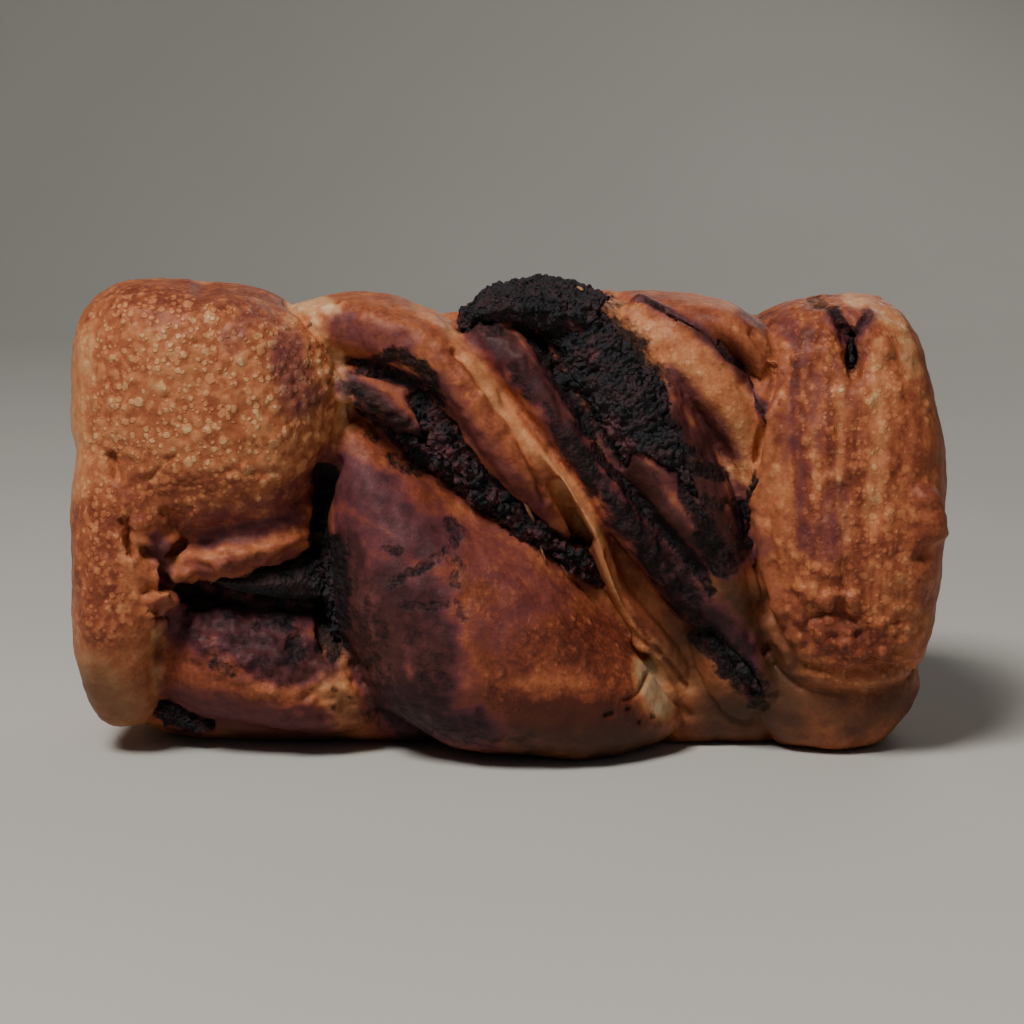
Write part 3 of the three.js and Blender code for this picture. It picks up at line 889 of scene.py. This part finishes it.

# %% [markdown]
# The smallest blisters are too many to raise one by one. The material draws them, and a mark on the skin
# says where they crowd. A second mark covers the right end, whose browning runs in long streaks. A
# third is painted shade: it darkens the undersides, the foot of the loaf, the web and a few tips towards
# a dark grey-brown, where shade falls.

# %% Where the smallest blisters, the streaks and the painted shade are
DOTTED_ELSEWHERE = 0.08
DOTTED = {
    "left end": ([(130, 330), (230, 340), (290, 380), (230, 440), (130, 420)], 70, 1.0),
    "left column": ([(98, 500), (100, 620)], 36, 0.8),
    "left fold": ([(150, 500), (280, 490)], 34, 0.7),
    "right end": ([(840, 330), (850, 470), (860, 640)], 90, 0.6),
    "wedge": ([(500, 600), (620, 660)], 60, 0.35),
    "gold strand": ([(620, 320), (710, 390), (740, 460)], 40, 0.35),
}
STREAKED = {"right end": ([(800, 330), (840, 460), (850, 600)], 100, 1.0)}
# Painted shade: these strokes darken the undersides, the foot of the loaf, the web and a few tips towards a
# dark grey-brown.
PAINTED_SHADE_EDGE = {"soft": 1.0, "ragged": 0.3}
PAINTED_SHADE_STROKES = {
    "left foot": ([(92, 684), (118, 708)], 62, 0.68),
    "cream fold beside the foot": ([(158, 640), (158, 690)], 10, 0.5),
    "tip of the left roll": ([(344, 706), (358, 720)], 24, 0.5),
    "under the left roll": ([(180, 716), (260, 734), (340, 738)], 24, 0.85),
    "under the wedge": ([(420, 744), (500, 750), (580, 752), (650, 744)], 46, 0.75),
    "tip of the wedge": ([(650, 672), (662, 706)], 22, 0.4),
    "web": ([(690, 640), (728, 600), (756, 660), (790, 712), (720, 716)], 64, 0.92),
    "right foot": ([(790, 696), (860, 722), (900, 700)], 40, 0.78),
    "end of the ridge": ([(676, 650), (712, 706)], 18, 0.6),
}

dotted = np.maximum(painted(DOTTED), DOTTED_ELSEWHERE)
streaked = painted(STREAKED)
# How much painted shade each point gets.
dull = painted(PAINTED_SHADE_STROKES, **PAINTED_SHADE_EDGE)
print("points with small blisters:", count_of(dotted), "and dull points:", count_of(dull))

# %% [markdown]
# Last, the skin sinks where filling lies open, char stands up in crumbs, and the sharp edge of the pale
# ridge is calmed again. No point goes below the surface that the loaf lies on. Then the marks are
# stored on the mesh.

# %% Keep the marks on the skin
SINK_DEPTH = 2 * MM
SINK_REACH = (0.7 * MM, 1.6 * MM)
CHAR_LUMPS = {5 * MM: 0.7 * MM, 2.2 * MM: 0.6 * MM, 1.2 * MM: 0.35 * MM}
CHAR_EDGE = (0.5, 0.85)
CHAR_SEED = 41
RIDGE = [(470, 357), (490, 385), (515, 420), (545, 462), (583, 500), (600, 540), (625, 615)]
RIDGE_WIDTH = 12
CALM_ROUNDS = 4
DOME_EDGE = (0, 0.4)


def keep_mark(piece, name, values):
    """Stores one number for each point of a piece, for its material to read."""
    mark = piece.data.attributes.new(name, "FLOAT", "POINT")
    mark.data.foreach_set("value", np.clip(values, 0, 1).astype(np.float32))


sunk = SINK_DEPTH * (1 - covered) * (1 - ramp(to_filling, *SINK_REACH))
char_relief = sum(tall * cloud(points, size, CHAR_SEED) for size, tall in CHAR_LUMPS.items())
points = points + normals_of(loaf) * (char_relief * ramp(soot, *CHAR_EDGE) - sunk)[:, None]
points = relaxed(points, edges, RELAX_SHARE * stroke(RIDGE, RIDGE_WIDTH), CALM_ROUNDS)
points[:, 2] = np.maximum(points[:, 2], 0)
put_points(loaf, points)
marks = {"bake": bake, "film": film, "soot": soot, "dotted": dotted, "streaked": streaked, "dull": dull}
marks["blister"] = ramp(pale_dome, *DOME_EDGE)
for name, values in marks.items():
    keep_mark(loaf, name, values)
print("marks:", [mark.name for mark in loaf.data.attributes if mark.data_type == "FLOAT"])

# %% [markdown]
# The filling is dark chocolate paste that baked dry and crumbly where it lay open. Each layer is its own
# piece, a copy of its solid in small cells, with lumps pulled out of it by noise of several sizes, which
# looks like cinders. The smooth tongue in the left fold gets little of that. What lies deep in the
# loaf is thinned.

# %% Chocolate layers
CHOCOLATE_CELL = 0.42 * MM
CRUMBLE = {
    "chocolate_crest": 1.0, "chocolate_slit": 1.5, "chocolate_foot": 1.5,
    "chocolate_fold": 1.1, "chocolate_seam": 0.5, "chocolate_tear": 0.4,
}
RUSTY = {"chocolate_slit": 1.0, "chocolate_foot": 0.6}
RUST_ELSEWHERE = 0.3
CINDERS = {7 * MM: 1.2 * MM, 3.4 * MM: 1.0 * MM, 1.7 * MM: 0.9 * MM}
CINDER_SEED = 31
GRIT_SIZE = 1.5 * MM
GRIT_HEIGHT = 0.75 * MM
GRIT_MIDDLE = 0.5
GRIT_SEED = 32
TONGUE_X = (-53 * MM, -48 * MM)
TONGUE_CRUMBLE = 0.12
COVER_DEPTH = 3.5 * MM
OPEN_DEPTH = 2 * MM
TRIANGLES_PER_POINT = 2
HIDDEN_SHARE = 0.06


def height_over(tree, points):
    """How far each point is outside the faces of a tree, below zero inside."""
    heights = np.empty(len(points))
    for index, point in enumerate(points.tolist()):
        place, normal, _, reach = tree.find_nearest(point)
        heights[index] = math.copysign(reach, (Vector(point) - place).dot(normal))
    return heights


def nearest_skin(points):
    """The number of the point of the skin that is nearest to each point."""
    return [crust_points.find(point)[1] for point in points]


def cinder_lumps(node, points):
    """How far noise pulls each point of a chocolate solid out."""
    lumps = sum(tall * cloud(points, size, CINDER_SEED) for size, tall in CINDERS.items())
    lumps += GRIT_HEIGHT * (2 * np.abs(cloud(points, GRIT_SIZE, GRIT_SEED)) - GRIT_MIDDLE)
    if node == "chocolate_fold":
        lumps *= TONGUE_CRUMBLE + (1 - TONGUE_CRUMBLE) * ramp(points[:, 0], *TONGUE_X)
    return lumps


def chocolate_layer(node):
    """A crumbly piece in place of one chocolate solid."""
    piece = new_piece(node.replace("chocolate_", "") + "_filling", merged([node]))
    modified(piece, "REMESH", mode="VOXEL", voxel_size=CHOCOLATE_CELL)
    points = points_of(piece)
    over = height_over(crust, points)
    open_air = ramp(over, -OPEN_DEPTH, 0)
    closed = covered[nearest_skin(points)]
    lumps = CRUMBLE[node] * open_air * cinder_lumps(node, points) * (1 - closed) - COVER_DEPTH * closed
    points = points + normals_of(piece) * lumps[:, None]
    points[:, 2] = np.maximum(points[:, 2], 0)
    put_points(piece, points)
    keep = (over > -OPEN_DEPTH) & (closed < 1)
    thinned(piece, keep, int(TRIANGLES_PER_POINT * keep.sum() + HIDDEN_SHARE * triangles_of(piece)))
    rusty = np.maximum(bare[nearest_skin(points_of(piece))], RUSTY.get(node, RUST_ELSEWHERE))
    keep_mark(piece, "rusty", rusty)
    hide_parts(node)
    return piece


crust = tree_of(loaf)
layers = {node: chocolate_layer(node) for node in FILLINGS}
for piece in layers.values():
    print(piece.name, "triangles:", triangles_of(piece))

# %% [markdown]
# Loose crumbs of the filling sit on the open layers, and some have been smeared onto the dough beside
# them. A crumb is a small ball of twenty faces, squeezed and dented at random. Hundreds of them
# make one piece. A row has a path in pixels, how far the crumbs stray from it, and how many there are.

# %% Crumbs of filling
CRUMB_ZONES = {
    "arch": ([(468, 330), (470, 300), (520, 284), (590, 300)], 9, 50),
    "char": ([(560, 320), (610, 370), (650, 430)], 34, 60),
    "lower char": ([(690, 474), (726, 550)], 20, 25),
    "cleft": ([(530, 330), (580, 410), (640, 500), (700, 580)], 8, 40),
    "end": ([(706, 640), (750, 690)], 10, 25),
    "slit, top": ([(366, 366), (400, 376), (432, 404)], 6, 30),
    "slit": ([(430, 456), (480, 494), (540, 544), (590, 575)], 10, 60),
    "fold wall": ([(332, 560), (334, 640)], 10, 40),
    "foot": ([(160, 704), (178, 716)], 7, 12),
}
CRUMB_RADIUS = (0.2, 0.6)
CRUMB_SHAPE = (0.6, 1.4)
CRUMB_RISE = 0.1
CRUMB_SEED = 9
DENTS = (0.6, 1.3)


def any_surface(pixel):
    """The first surface that shows at a pixel, and the direction out of it there."""
    direction = sight_line(pixel)
    hits = [tree.ray_cast(EYE, direction) for tree in (crust, *layer_trees)]
    hits = [hit for hit in hits if hit[0] is not None]
    return min(hits, key=lambda hit: hit[3])[:2] if hits else (None, None)


def dented_ball(bm, subdivisions, radius, chance):
    """Adds a small ball, with each point moved in or out by chance."""
    verts = bmesh.ops.create_icosphere(bm, subdivisions=subdivisions, radius=radius)["verts"]
    for vert in verts:
        vert.co *= chance.uniform(*DENTS)
    return verts


def add_crumb(bm, place, normal, radius, chance):
    """Adds one dented crumb, partly sunk in the surface."""
    verts = dented_ball(bm, subdivisions=1, radius=radius, chance=chance)
    turn = Euler([chance.uniform(0, math.tau) for _ in range(3)]).to_matrix()
    squeeze = Matrix.Diagonal([chance.uniform(*CRUMB_SHAPE) for _ in range(3)])
    bmesh.ops.transform(bm, verts=verts, matrix=(turn @ squeeze).to_4x4())
    bmesh.ops.translate(bm, verts=verts, vec=place + normal * radius * CRUMB_RISE)


def scattered_crumbs(chance):
    """A piece of crumbs along paths in the frame."""
    bm = bmesh.new()
    for path, spread, count in CRUMB_ZONES.values():
        for _ in range(count):
            leg = chance.randrange(len(path) - 1)
            start, end = Vector(path[leg]), Vector(path[leg + 1])
            beside = Vector((chance.gauss(0, spread / 2), chance.gauss(0, spread / 2)))
            pixel = start.lerp(end, chance.random()) + beside
            place, normal = any_surface(pixel)
            if place is not None:
                add_crumb(bm, place, normal, MM * chance.uniform(*CRUMB_RADIUS), chance)
    bmesh.ops.recalc_face_normals(bm, faces=bm.faces)
    return new_piece("filling_crumbs", bm)


layer_trees = [tree_of(piece) for piece in layers.values()]
filling_crumbs = scattered_crumbs(random.Random(CRUMB_SEED))
print("crumb triangles:", triangles_of(filling_crumbs))

# %% [markdown]
# A few slivers of pale dough tore off at the slit and dried there. Each is a small ball, drawn out
# between two places that show at two pixels, and pressed flat.

# %% Slivers of dough
SLIVERS = {
    "over the slit": ((526, 503), (534, 520), 0.8),
    "long": ((540, 543), (548, 567), 0.7),
    "end of the slit": ((558, 562), (568, 577), 0.7),
    "fleck on the arch": ((577, 287), (583, 291), 0.7),
}
SLIVER_FLATNESS = 0.4
SLIVER_SEED = 12


def add_sliver(bm, start, end, radius, chance):
    """Adds a sliver of a radius in millimetres from one pixel to another, on what shows there."""
    near, normal = any_surface(start)
    far, _ = any_surface(end)
    verts = dented_ball(bm, subdivisions=2, radius=1.0, chance=chance)
    drawn = far - near
    size = Matrix.Diagonal((drawn.length / 2, radius * MM, radius * MM * SLIVER_FLATNESS, 1))
    lie = drawn.to_track_quat("X", "Z").to_matrix().to_4x4()
    middle = Matrix.Translation((near + far) / 2 + normal * radius * MM * SLIVER_FLATNESS)
    bmesh.ops.transform(bm, verts=verts, matrix=middle @ lie @ size)


torn = bmesh.new()
dents = random.Random(SLIVER_SEED)
for start, end, radius in SLIVERS.values():
    add_sliver(torn, start, end, radius, dents)
bmesh.ops.recalc_face_normals(torn, faces=torn.faces)
dough_flakes = new_piece("dough_flakes", torn)
print("sliver triangles:", triangles_of(dough_flakes))

# %% [markdown]
# The finishes are made of shader nodes. One small function adds a node with its settings and links, a
# second turns a colour from the hex values of a paint chart to the linear values that light needs, and
# a third turns a real size in millimetres into a pattern's scale. Some sockets have only a number, so
# they get names here: the ranges that a Map Range reads and gives, and the colours that a Mix joins.

# %% Helpers for finishes
IN_LOW, IN_HIGH, OUT_LOW, OUT_HIGH = 1, 2, 3, 4
SHARE, UNDER, OVER, MIXED = 0, 6, 7, 2


def linear(colour):
    """A colour such as #aa7744 as linear red, green, blue and alpha, by the sRGB curve."""
    channels = [int(colour[start:start + 2], 16) / 255 for start in (1, 3, 5)]
    return [c / 12.92 if c <= 0.04045 else ((c + 0.055) / 1.055) ** 2.4 for c in channels] + [1.0]


def per_mm(size):
    """The scale of a pattern whose cells are so many millimetres wide."""
    return 1 / (size * MM)


def connect(tree, node, inputs):
    """Gives a node its inputs. Each is a value, or the output that it is linked to."""
    for key, value in inputs.items():
        if isinstance(value, bpy.types.NodeSocket):
            tree.links.new(value, node.inputs[key])
        else:
            node.inputs[key].default_value = value


def add(tree, kind, inputs, stops=None, **settings):
    """Adds a node to a tree, with its inputs, its settings and the colour stops of a ramp."""
    node = tree.nodes.new("ShaderNode" + kind)
    for name, value in settings.items():
        setattr(node, name, value)
    connect(tree, node, inputs)
    for number, (position, colour) in enumerate((stops or {}).items()):
        elements = node.color_ramp.elements
        stop = elements[number] if number < len(elements) else elements.new(1.0)
        stop.position = position
        stop.color = linear(colour)
    return node


def finish(name):
    """A new material, its node tree, its shader and the output with the place on the piece."""
    material = bpy.data.materials.new(name)
    material.use_nodes = True
    tree = material.node_tree
    return material, tree, tree.nodes["Principled BSDF"], add(tree, "TexCoord", {}).outputs["Object"]


print("one hex colour as linear:", [round(value, 3) for value in linear("#bc7b57")])

# %% [markdown]
# Baked egg-washed crust: a thin glazed skin of browned flour and sugar. It gives the eye a satin shine on
# warm browns that are never one colour: cream where the dough stretched late, tan and chestnut where
# it caught the heat, paler on each blister, purple-brown under melted filling and matt black where that
# charred. First come its patterns: the painted marks, noise of 0.45 to 9 mm that breaks up every edge,
# the smallest blisters as round spots in the cells of a Voronoi pattern, and streaks that run down.

# %% Patterns of the crust
GRAIN = {"broad": (9.0, 3.0), "patch": (3.2, 4.0), "speck": (1.1, 3.0), "pore": (0.45, 2.0)}
GRAIN_ROUGHNESS = 0.6
WOBBLE_SIZE = 1.2
WOBBLE_REACH = 0.9 * MM
BUBBLES = {
    3.0: {IN_LOW: 0.2, IN_HIGH: 1.0, OUT_LOW: 0.0, OUT_HIGH: 0.56},
    1.7: {IN_LOW: -0.15, IN_HIGH: 1.0, OUT_LOW: 0.0, OUT_HIGH: 0.6},
}
BUBBLE_EDGE = {IN_LOW: 0.0, IN_HIGH: 0.16}
CINDER_SIZE = 1.5
RUN_SIZES = (2.6, 5.0, 14.0)
RUN_NOISE = {"Scale": 1.0, "Detail": 3.0, "Distortion": 0.8}
RUN_MIDDLE = 0.5


def bubbles(tree, place, dotted):
    """Small round blisters where a mark is: each cell of a pattern has one, as wide as chance has it."""
    bubble = 0.0
    for size, widths in BUBBLES.items():
        cells = add(tree, "TexVoronoi", {"Vector": place, "Scale": per_mm(size)}).outputs
        chance = add(tree, "SeparateColor", {"Color": cells["Color"]}).outputs[0]
        reach = add(tree, "MapRange", {"Value": chance, **widths}).outputs["Result"]
        inside = add(tree, "Math", {0: reach, 1: cells["Distance"]}, operation="SUBTRACT").outputs[0]
        dome = add(tree, "MapRange", {"Value": inside, **BUBBLE_EDGE}).outputs["Result"]
        bubble = add(tree, "Math", {0: dome, 1: bubble}, operation="MAXIMUM").outputs[0]
    return add(tree, "Math", {0: bubble, 1: dotted}, operation="MULTIPLY").outputs[0]


def streaks_down(tree, place, streaked):
    """Noise drawn out along the loaf's height where a mark is, above and below zero."""
    scales = [per_mm(size) for size in RUN_SIZES]
    drawn = add(tree, "Mapping", {"Vector": place, "Scale": scales}).outputs[0]
    run = add(tree, "TexNoise", {"Vector": drawn, **RUN_NOISE}).outputs["Fac"]
    run = add(tree, "Math", {0: run, 1: RUN_MIDDLE}, operation="SUBTRACT").outputs[0]
    return add(tree, "Math", {0: run, 1: streaked}, operation="MULTIPLY").outputs[0]


def crust_patterns(tree, place):
    """The outputs that the colour, the shine and the relief of the crust are made from, by name."""
    found = {name: add(tree, "Attribute", {}, attribute_name=name).outputs["Fac"] for name in marks}
    for name, (size, detail) in GRAIN.items():
        grain = {"Scale": per_mm(size), "Detail": detail, "Roughness": GRAIN_ROUGHNESS}
        found[name] = add(tree, "TexNoise", {"Vector": place, **grain}).outputs["Fac"]
    wobble = add(tree, "TexNoise", {"Vector": place, "Scale": per_mm(WOBBLE_SIZE)}).outputs["Color"]
    moved = {0: wobble, 1: [WOBBLE_REACH] * 3, 2: place}
    uneven = add(tree, "VectorMath", moved, operation="MULTIPLY_ADD").outputs[0]
    found["bubble"] = bubbles(tree, uneven, found["dotted"])
    found["streak"] = streaks_down(tree, place, found["streaked"])
    cells = add(tree, "TexVoronoi", {"Vector": uneven, "Scale": per_mm(CINDER_SIZE)})
    found["cells"] = cells.outputs["Distance"]
    return found


print("grain in mm:", [size for size, _ in GRAIN.values()])

# %% [markdown]
# The crust's colour starts from the tone of the dough. A table says how much each pattern pushes it, and
# at which value the pattern leaves it alone. The painted shade, the film and the char are coats over it,
# and each coat hides what lies under it by its own share. Roughness and relief are pushed by tables too.

# %% Crust
BAKE_COLOURS = {
    0.0: "#d8ba94", 0.2: "#cb986c", 0.42: "#bd7b51",
    0.6: "#a65f3d", 0.8: "#80402b", 1.0: "#55281e",
}
FILM_COLOURS = {0.15: "#84463a", 0.5: "#733938", 0.8: "#542b33", 1.0: "#301a20"}
# The dark grey-brown of the painted shade on the undersides and in the recesses.
PAINTED_SHADE_COLOUR = "#463123"
CHAR_COLOUR = "#191416"
TONE_PUSH = {
    "broad": (0.44, 0.5), "patch": (0.42, 0.5), "speck": (0.34, 0.5),
    "blister": (-0.16, 0.05), "bubble": (-0.27, 0.2), "streak": (0.5, 0.0),
}
FILM_PUSH = {"patch": (0.6, 0.5)}
FILM_SHOWS = {IN_LOW: 0.15, IN_HIGH: 0.75, OUT_LOW: 0.0, OUT_HIGH: 0.9}
SOOT_PUSH = {"patch": (1.0, 0.5), "speck": (0.45, 0.5)}
SOOT_SHOWS = {IN_LOW: 0.32, IN_HIGH: 0.72, OUT_LOW: 0.0, OUT_HIGH: 0.93}
CRUST_ROUGHNESS = {IN_LOW: 0.3, IN_HIGH: 0.7, OUT_LOW: 0.42, OUT_HIGH: 0.58}
ROUGH_PUSH = {"bubble": (-0.1, 0.0), "stain": (0.08, 0.0), "char": (0.18, 0.0)}
RELIEF_PUSH = {"pore": (0.14, 0.0), "speck": (0.38, 0.0), "bubble": (0.5, 0.0), "cinders": (-1.6, 0.0)}
CRUST_BUMP = {"Strength": 0.9, "Distance": 0.5 * MM}
CRUST_GLOSS = {"IOR": 1.45, "Specular IOR Level": 0.22}


def pushed(tree, level, found, pushes):
    """A level with the push of each pattern in a table, by its share and the value where it is still."""
    for name, (share, still) in pushes.items():
        above = add(tree, "Math", {0: found[name], 1: still}, operation="SUBTRACT").outputs[0]
        level = add(tree, "Math", {0: above, 1: share, 2: level}, operation="MULTIPLY_ADD").outputs[0]
    return level


def crust_finish():
    """The material of the dough."""
    material, tree, shader, place = finish("Baked egg-washed crust")
    found = crust_patterns(tree, place)
    tone = pushed(tree, found["bake"], found, TONE_PUSH)
    film = pushed(tree, found["film"], found, FILM_PUSH)
    soot = pushed(tree, found["soot"], found, SOOT_PUSH)
    found["stain"] = add(tree, "MapRange", {"Value": film, **FILM_SHOWS}).outputs["Result"]
    found["char"] = add(tree, "MapRange", {"Value": soot, **SOOT_SHOWS}).outputs["Result"]
    film_colour = add(tree, "ValToRGB", {"Fac": film}, stops=FILM_COLOURS).outputs["Color"]
    coats = {"dull": linear(PAINTED_SHADE_COLOUR), "stain": film_colour, "char": linear(CHAR_COLOUR)}
    colour = add(tree, "ValToRGB", {"Fac": tone}, stops=BAKE_COLOURS).outputs["Color"]
    for name, coat in coats.items():
        layer = {SHARE: found[name], UNDER: colour, OVER: coat}
        colour = add(tree, "Mix", layer, data_type="RGBA").outputs[MIXED]
    satin = add(tree, "MapRange", {"Value": found["patch"], **CRUST_ROUGHNESS}).outputs["Result"]
    charred_cells = {0: found["cells"], 1: found["char"]}
    found["cinders"] = add(tree, "Math", charred_cells, operation="MULTIPLY").outputs[0]
    relief = pushed(tree, 0.0, found, RELIEF_PUSH)
    bump = add(tree, "Bump", {"Height": relief, **CRUST_BUMP}).outputs["Normal"]
    rough = pushed(tree, satin, found, ROUGH_PUSH)
    connect(tree, shader, {"Base Color": colour, "Roughness": rough, "Normal": bump, **CRUST_GLOSS})
    return material


loaf.data.materials.append(crust_finish())
print("crust nodes:", len(loaf.data.materials[0].node_tree.nodes))

# %% [markdown]
# Baked dark chocolate filling: cocoa, sugar and butter, dried out in the oven. It gives the eye a near
# black with a dull shine on the crumbs, greyish where sugar has bloomed and reddish brown in the thin
# places. Bloom and rust are coats over the cocoa.

# %% Filling
COCOA = "#141316"
BLOOM = "#2c2a30"
RUST = "#583034"
PATCHES = {"Scale": per_mm(4.0), "Detail": 4.0}
GRIT = {"Scale": per_mm(0.7), "Detail": 3.0}
BLOOM_SHOWS = {IN_LOW: 0.45, IN_HIGH: 0.75, OUT_LOW: 0.0, OUT_HIGH: 0.8}
RUST_SHOWS = {IN_LOW: 0.44, IN_HIGH: 0.6, OUT_LOW: 0.0, OUT_HIGH: 0.9}
FILLING_ROUGHNESS = {IN_LOW: 0.3, IN_HIGH: 0.7, OUT_LOW: 0.6, OUT_HIGH: 0.85}
FILLING_CRUMB = 1.3
FILLING_BUMP = {"Strength": 1.0, "Distance": 0.7 * MM}
FILLING_GLOSS = {"IOR": 1.5, "Specular IOR Level": 0.35}


def filling_finish():
    """The material of the chocolate layers and crumbs."""
    material, tree, shader, place = finish("Baked dark chocolate filling")
    patch = add(tree, "TexNoise", {"Vector": place, **PATCHES}).outputs["Fac"]
    grit = add(tree, "TexNoise", {"Vector": place, **GRIT}).outputs["Fac"]
    bloom = add(tree, "MapRange", {"Value": grit, **BLOOM_SHOWS}).outputs["Result"]
    rust = add(tree, "MapRange", {"Value": patch, **RUST_SHOWS}).outputs["Result"]
    rusty = add(tree, "Attribute", {}, attribute_name="rusty").outputs["Fac"]
    rust = add(tree, "Math", {0: rust, 1: rusty}, operation="MULTIPLY").outputs[0]
    colour = linear(COCOA)
    for share, coat in ((bloom, BLOOM), (rust, RUST)):
        layer = {SHARE: share, UNDER: colour, OVER: linear(coat)}
        colour = add(tree, "Mix", layer, data_type="RGBA").outputs[MIXED]
    rough = add(tree, "MapRange", {"Value": grit, **FILLING_ROUGHNESS}).outputs["Result"]
    crumbs = add(tree, "TexVoronoi", {"Vector": place, "Scale": per_mm(FILLING_CRUMB)}).outputs["Distance"]
    relief = add(tree, "Math", {0: grit, 1: crumbs}, operation="SUBTRACT").outputs[0]
    bump = add(tree, "Bump", {"Height": relief, **FILLING_BUMP}).outputs["Normal"]
    connect(tree, shader, {"Base Color": colour, "Roughness": rough, "Normal": bump, **FILLING_GLOSS})
    return material


chocolate = filling_finish()
for piece in (*layers.values(), filling_crumbs):
    piece.data.materials.append(chocolate)
print("filling nodes:", len(chocolate.node_tree.nodes))

# %% [markdown]
# Torn dough crumb: the dry, open inside of a sweet dough. It gives the eye no shine, and a colour from
# cream to a brown stain. The floor is matt studio paper: pale, with a faint cloudiness, so that the
# loaf's shadow reads softly.

# %% Flakes and floor
TORN_COLOURS = {UNDER: linear("#b58a60"), OVER: linear("#74402d")}
TORN_PATCHES = {"Scale": per_mm(2.0), "Detail": 3.0}
TORN_STAIN = {IN_LOW: 0.35, IN_HIGH: 0.65}
TORN_BUMP = {"Strength": 0.6, "Distance": 0.3 * MM}
TORN_ROUGHNESS = 0.8
PAPER_COLOURS = {UNDER: linear("#bab7b1"), OVER: linear("#c3c0bb")}
PAPER_CLOUDS = {"Scale": per_mm(300), "Detail": 2.0}
PAPER_ROUGHNESS = 0.85


def crumb_finish():
    """The material of the torn slivers."""
    material, tree, shader, place = finish("Torn dough crumb")
    patch = add(tree, "TexNoise", {"Vector": place, **TORN_PATCHES}).outputs["Fac"]
    stain = add(tree, "MapRange", {"Value": patch, **TORN_STAIN}).outputs["Result"]
    colour = add(tree, "Mix", {SHARE: stain, **TORN_COLOURS}, data_type="RGBA").outputs[MIXED]
    bump = add(tree, "Bump", {"Height": patch, **TORN_BUMP}).outputs["Normal"]
    connect(tree, shader, {"Base Color": colour, "Roughness": TORN_ROUGHNESS, "Normal": bump})
    return material


def paper_finish():
    """The material of the floor."""
    material, tree, shader, place = finish("Matt studio paper")
    cloudy = add(tree, "TexNoise", {"Vector": place, **PAPER_CLOUDS}).outputs["Fac"]
    colour = add(tree, "Mix", {SHARE: cloudy, **PAPER_COLOURS}, data_type="RGBA").outputs[MIXED]
    connect(tree, shader, {"Base Color": colour, "Roughness": PAPER_ROUGHNESS})
    return material


dough_flakes.data.materials.append(crumb_finish())
sweep.data.materials.append(paper_finish())
print("finishes:", [material.name for material in bpy.data.materials])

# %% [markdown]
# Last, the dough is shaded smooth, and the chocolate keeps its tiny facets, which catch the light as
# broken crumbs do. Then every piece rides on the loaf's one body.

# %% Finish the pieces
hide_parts("dough")
for piece in (loaf, dough_flakes):
    piece.data.shade_smooth()
for piece in (*layers.values(), filling_crumbs):
    piece.data.shade_flat()
for piece in (loaf, dough_flakes, *layers.values(), filling_crumbs):
    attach(piece, "root")
    print(piece.name, "triangles:", triangles_of(piece))
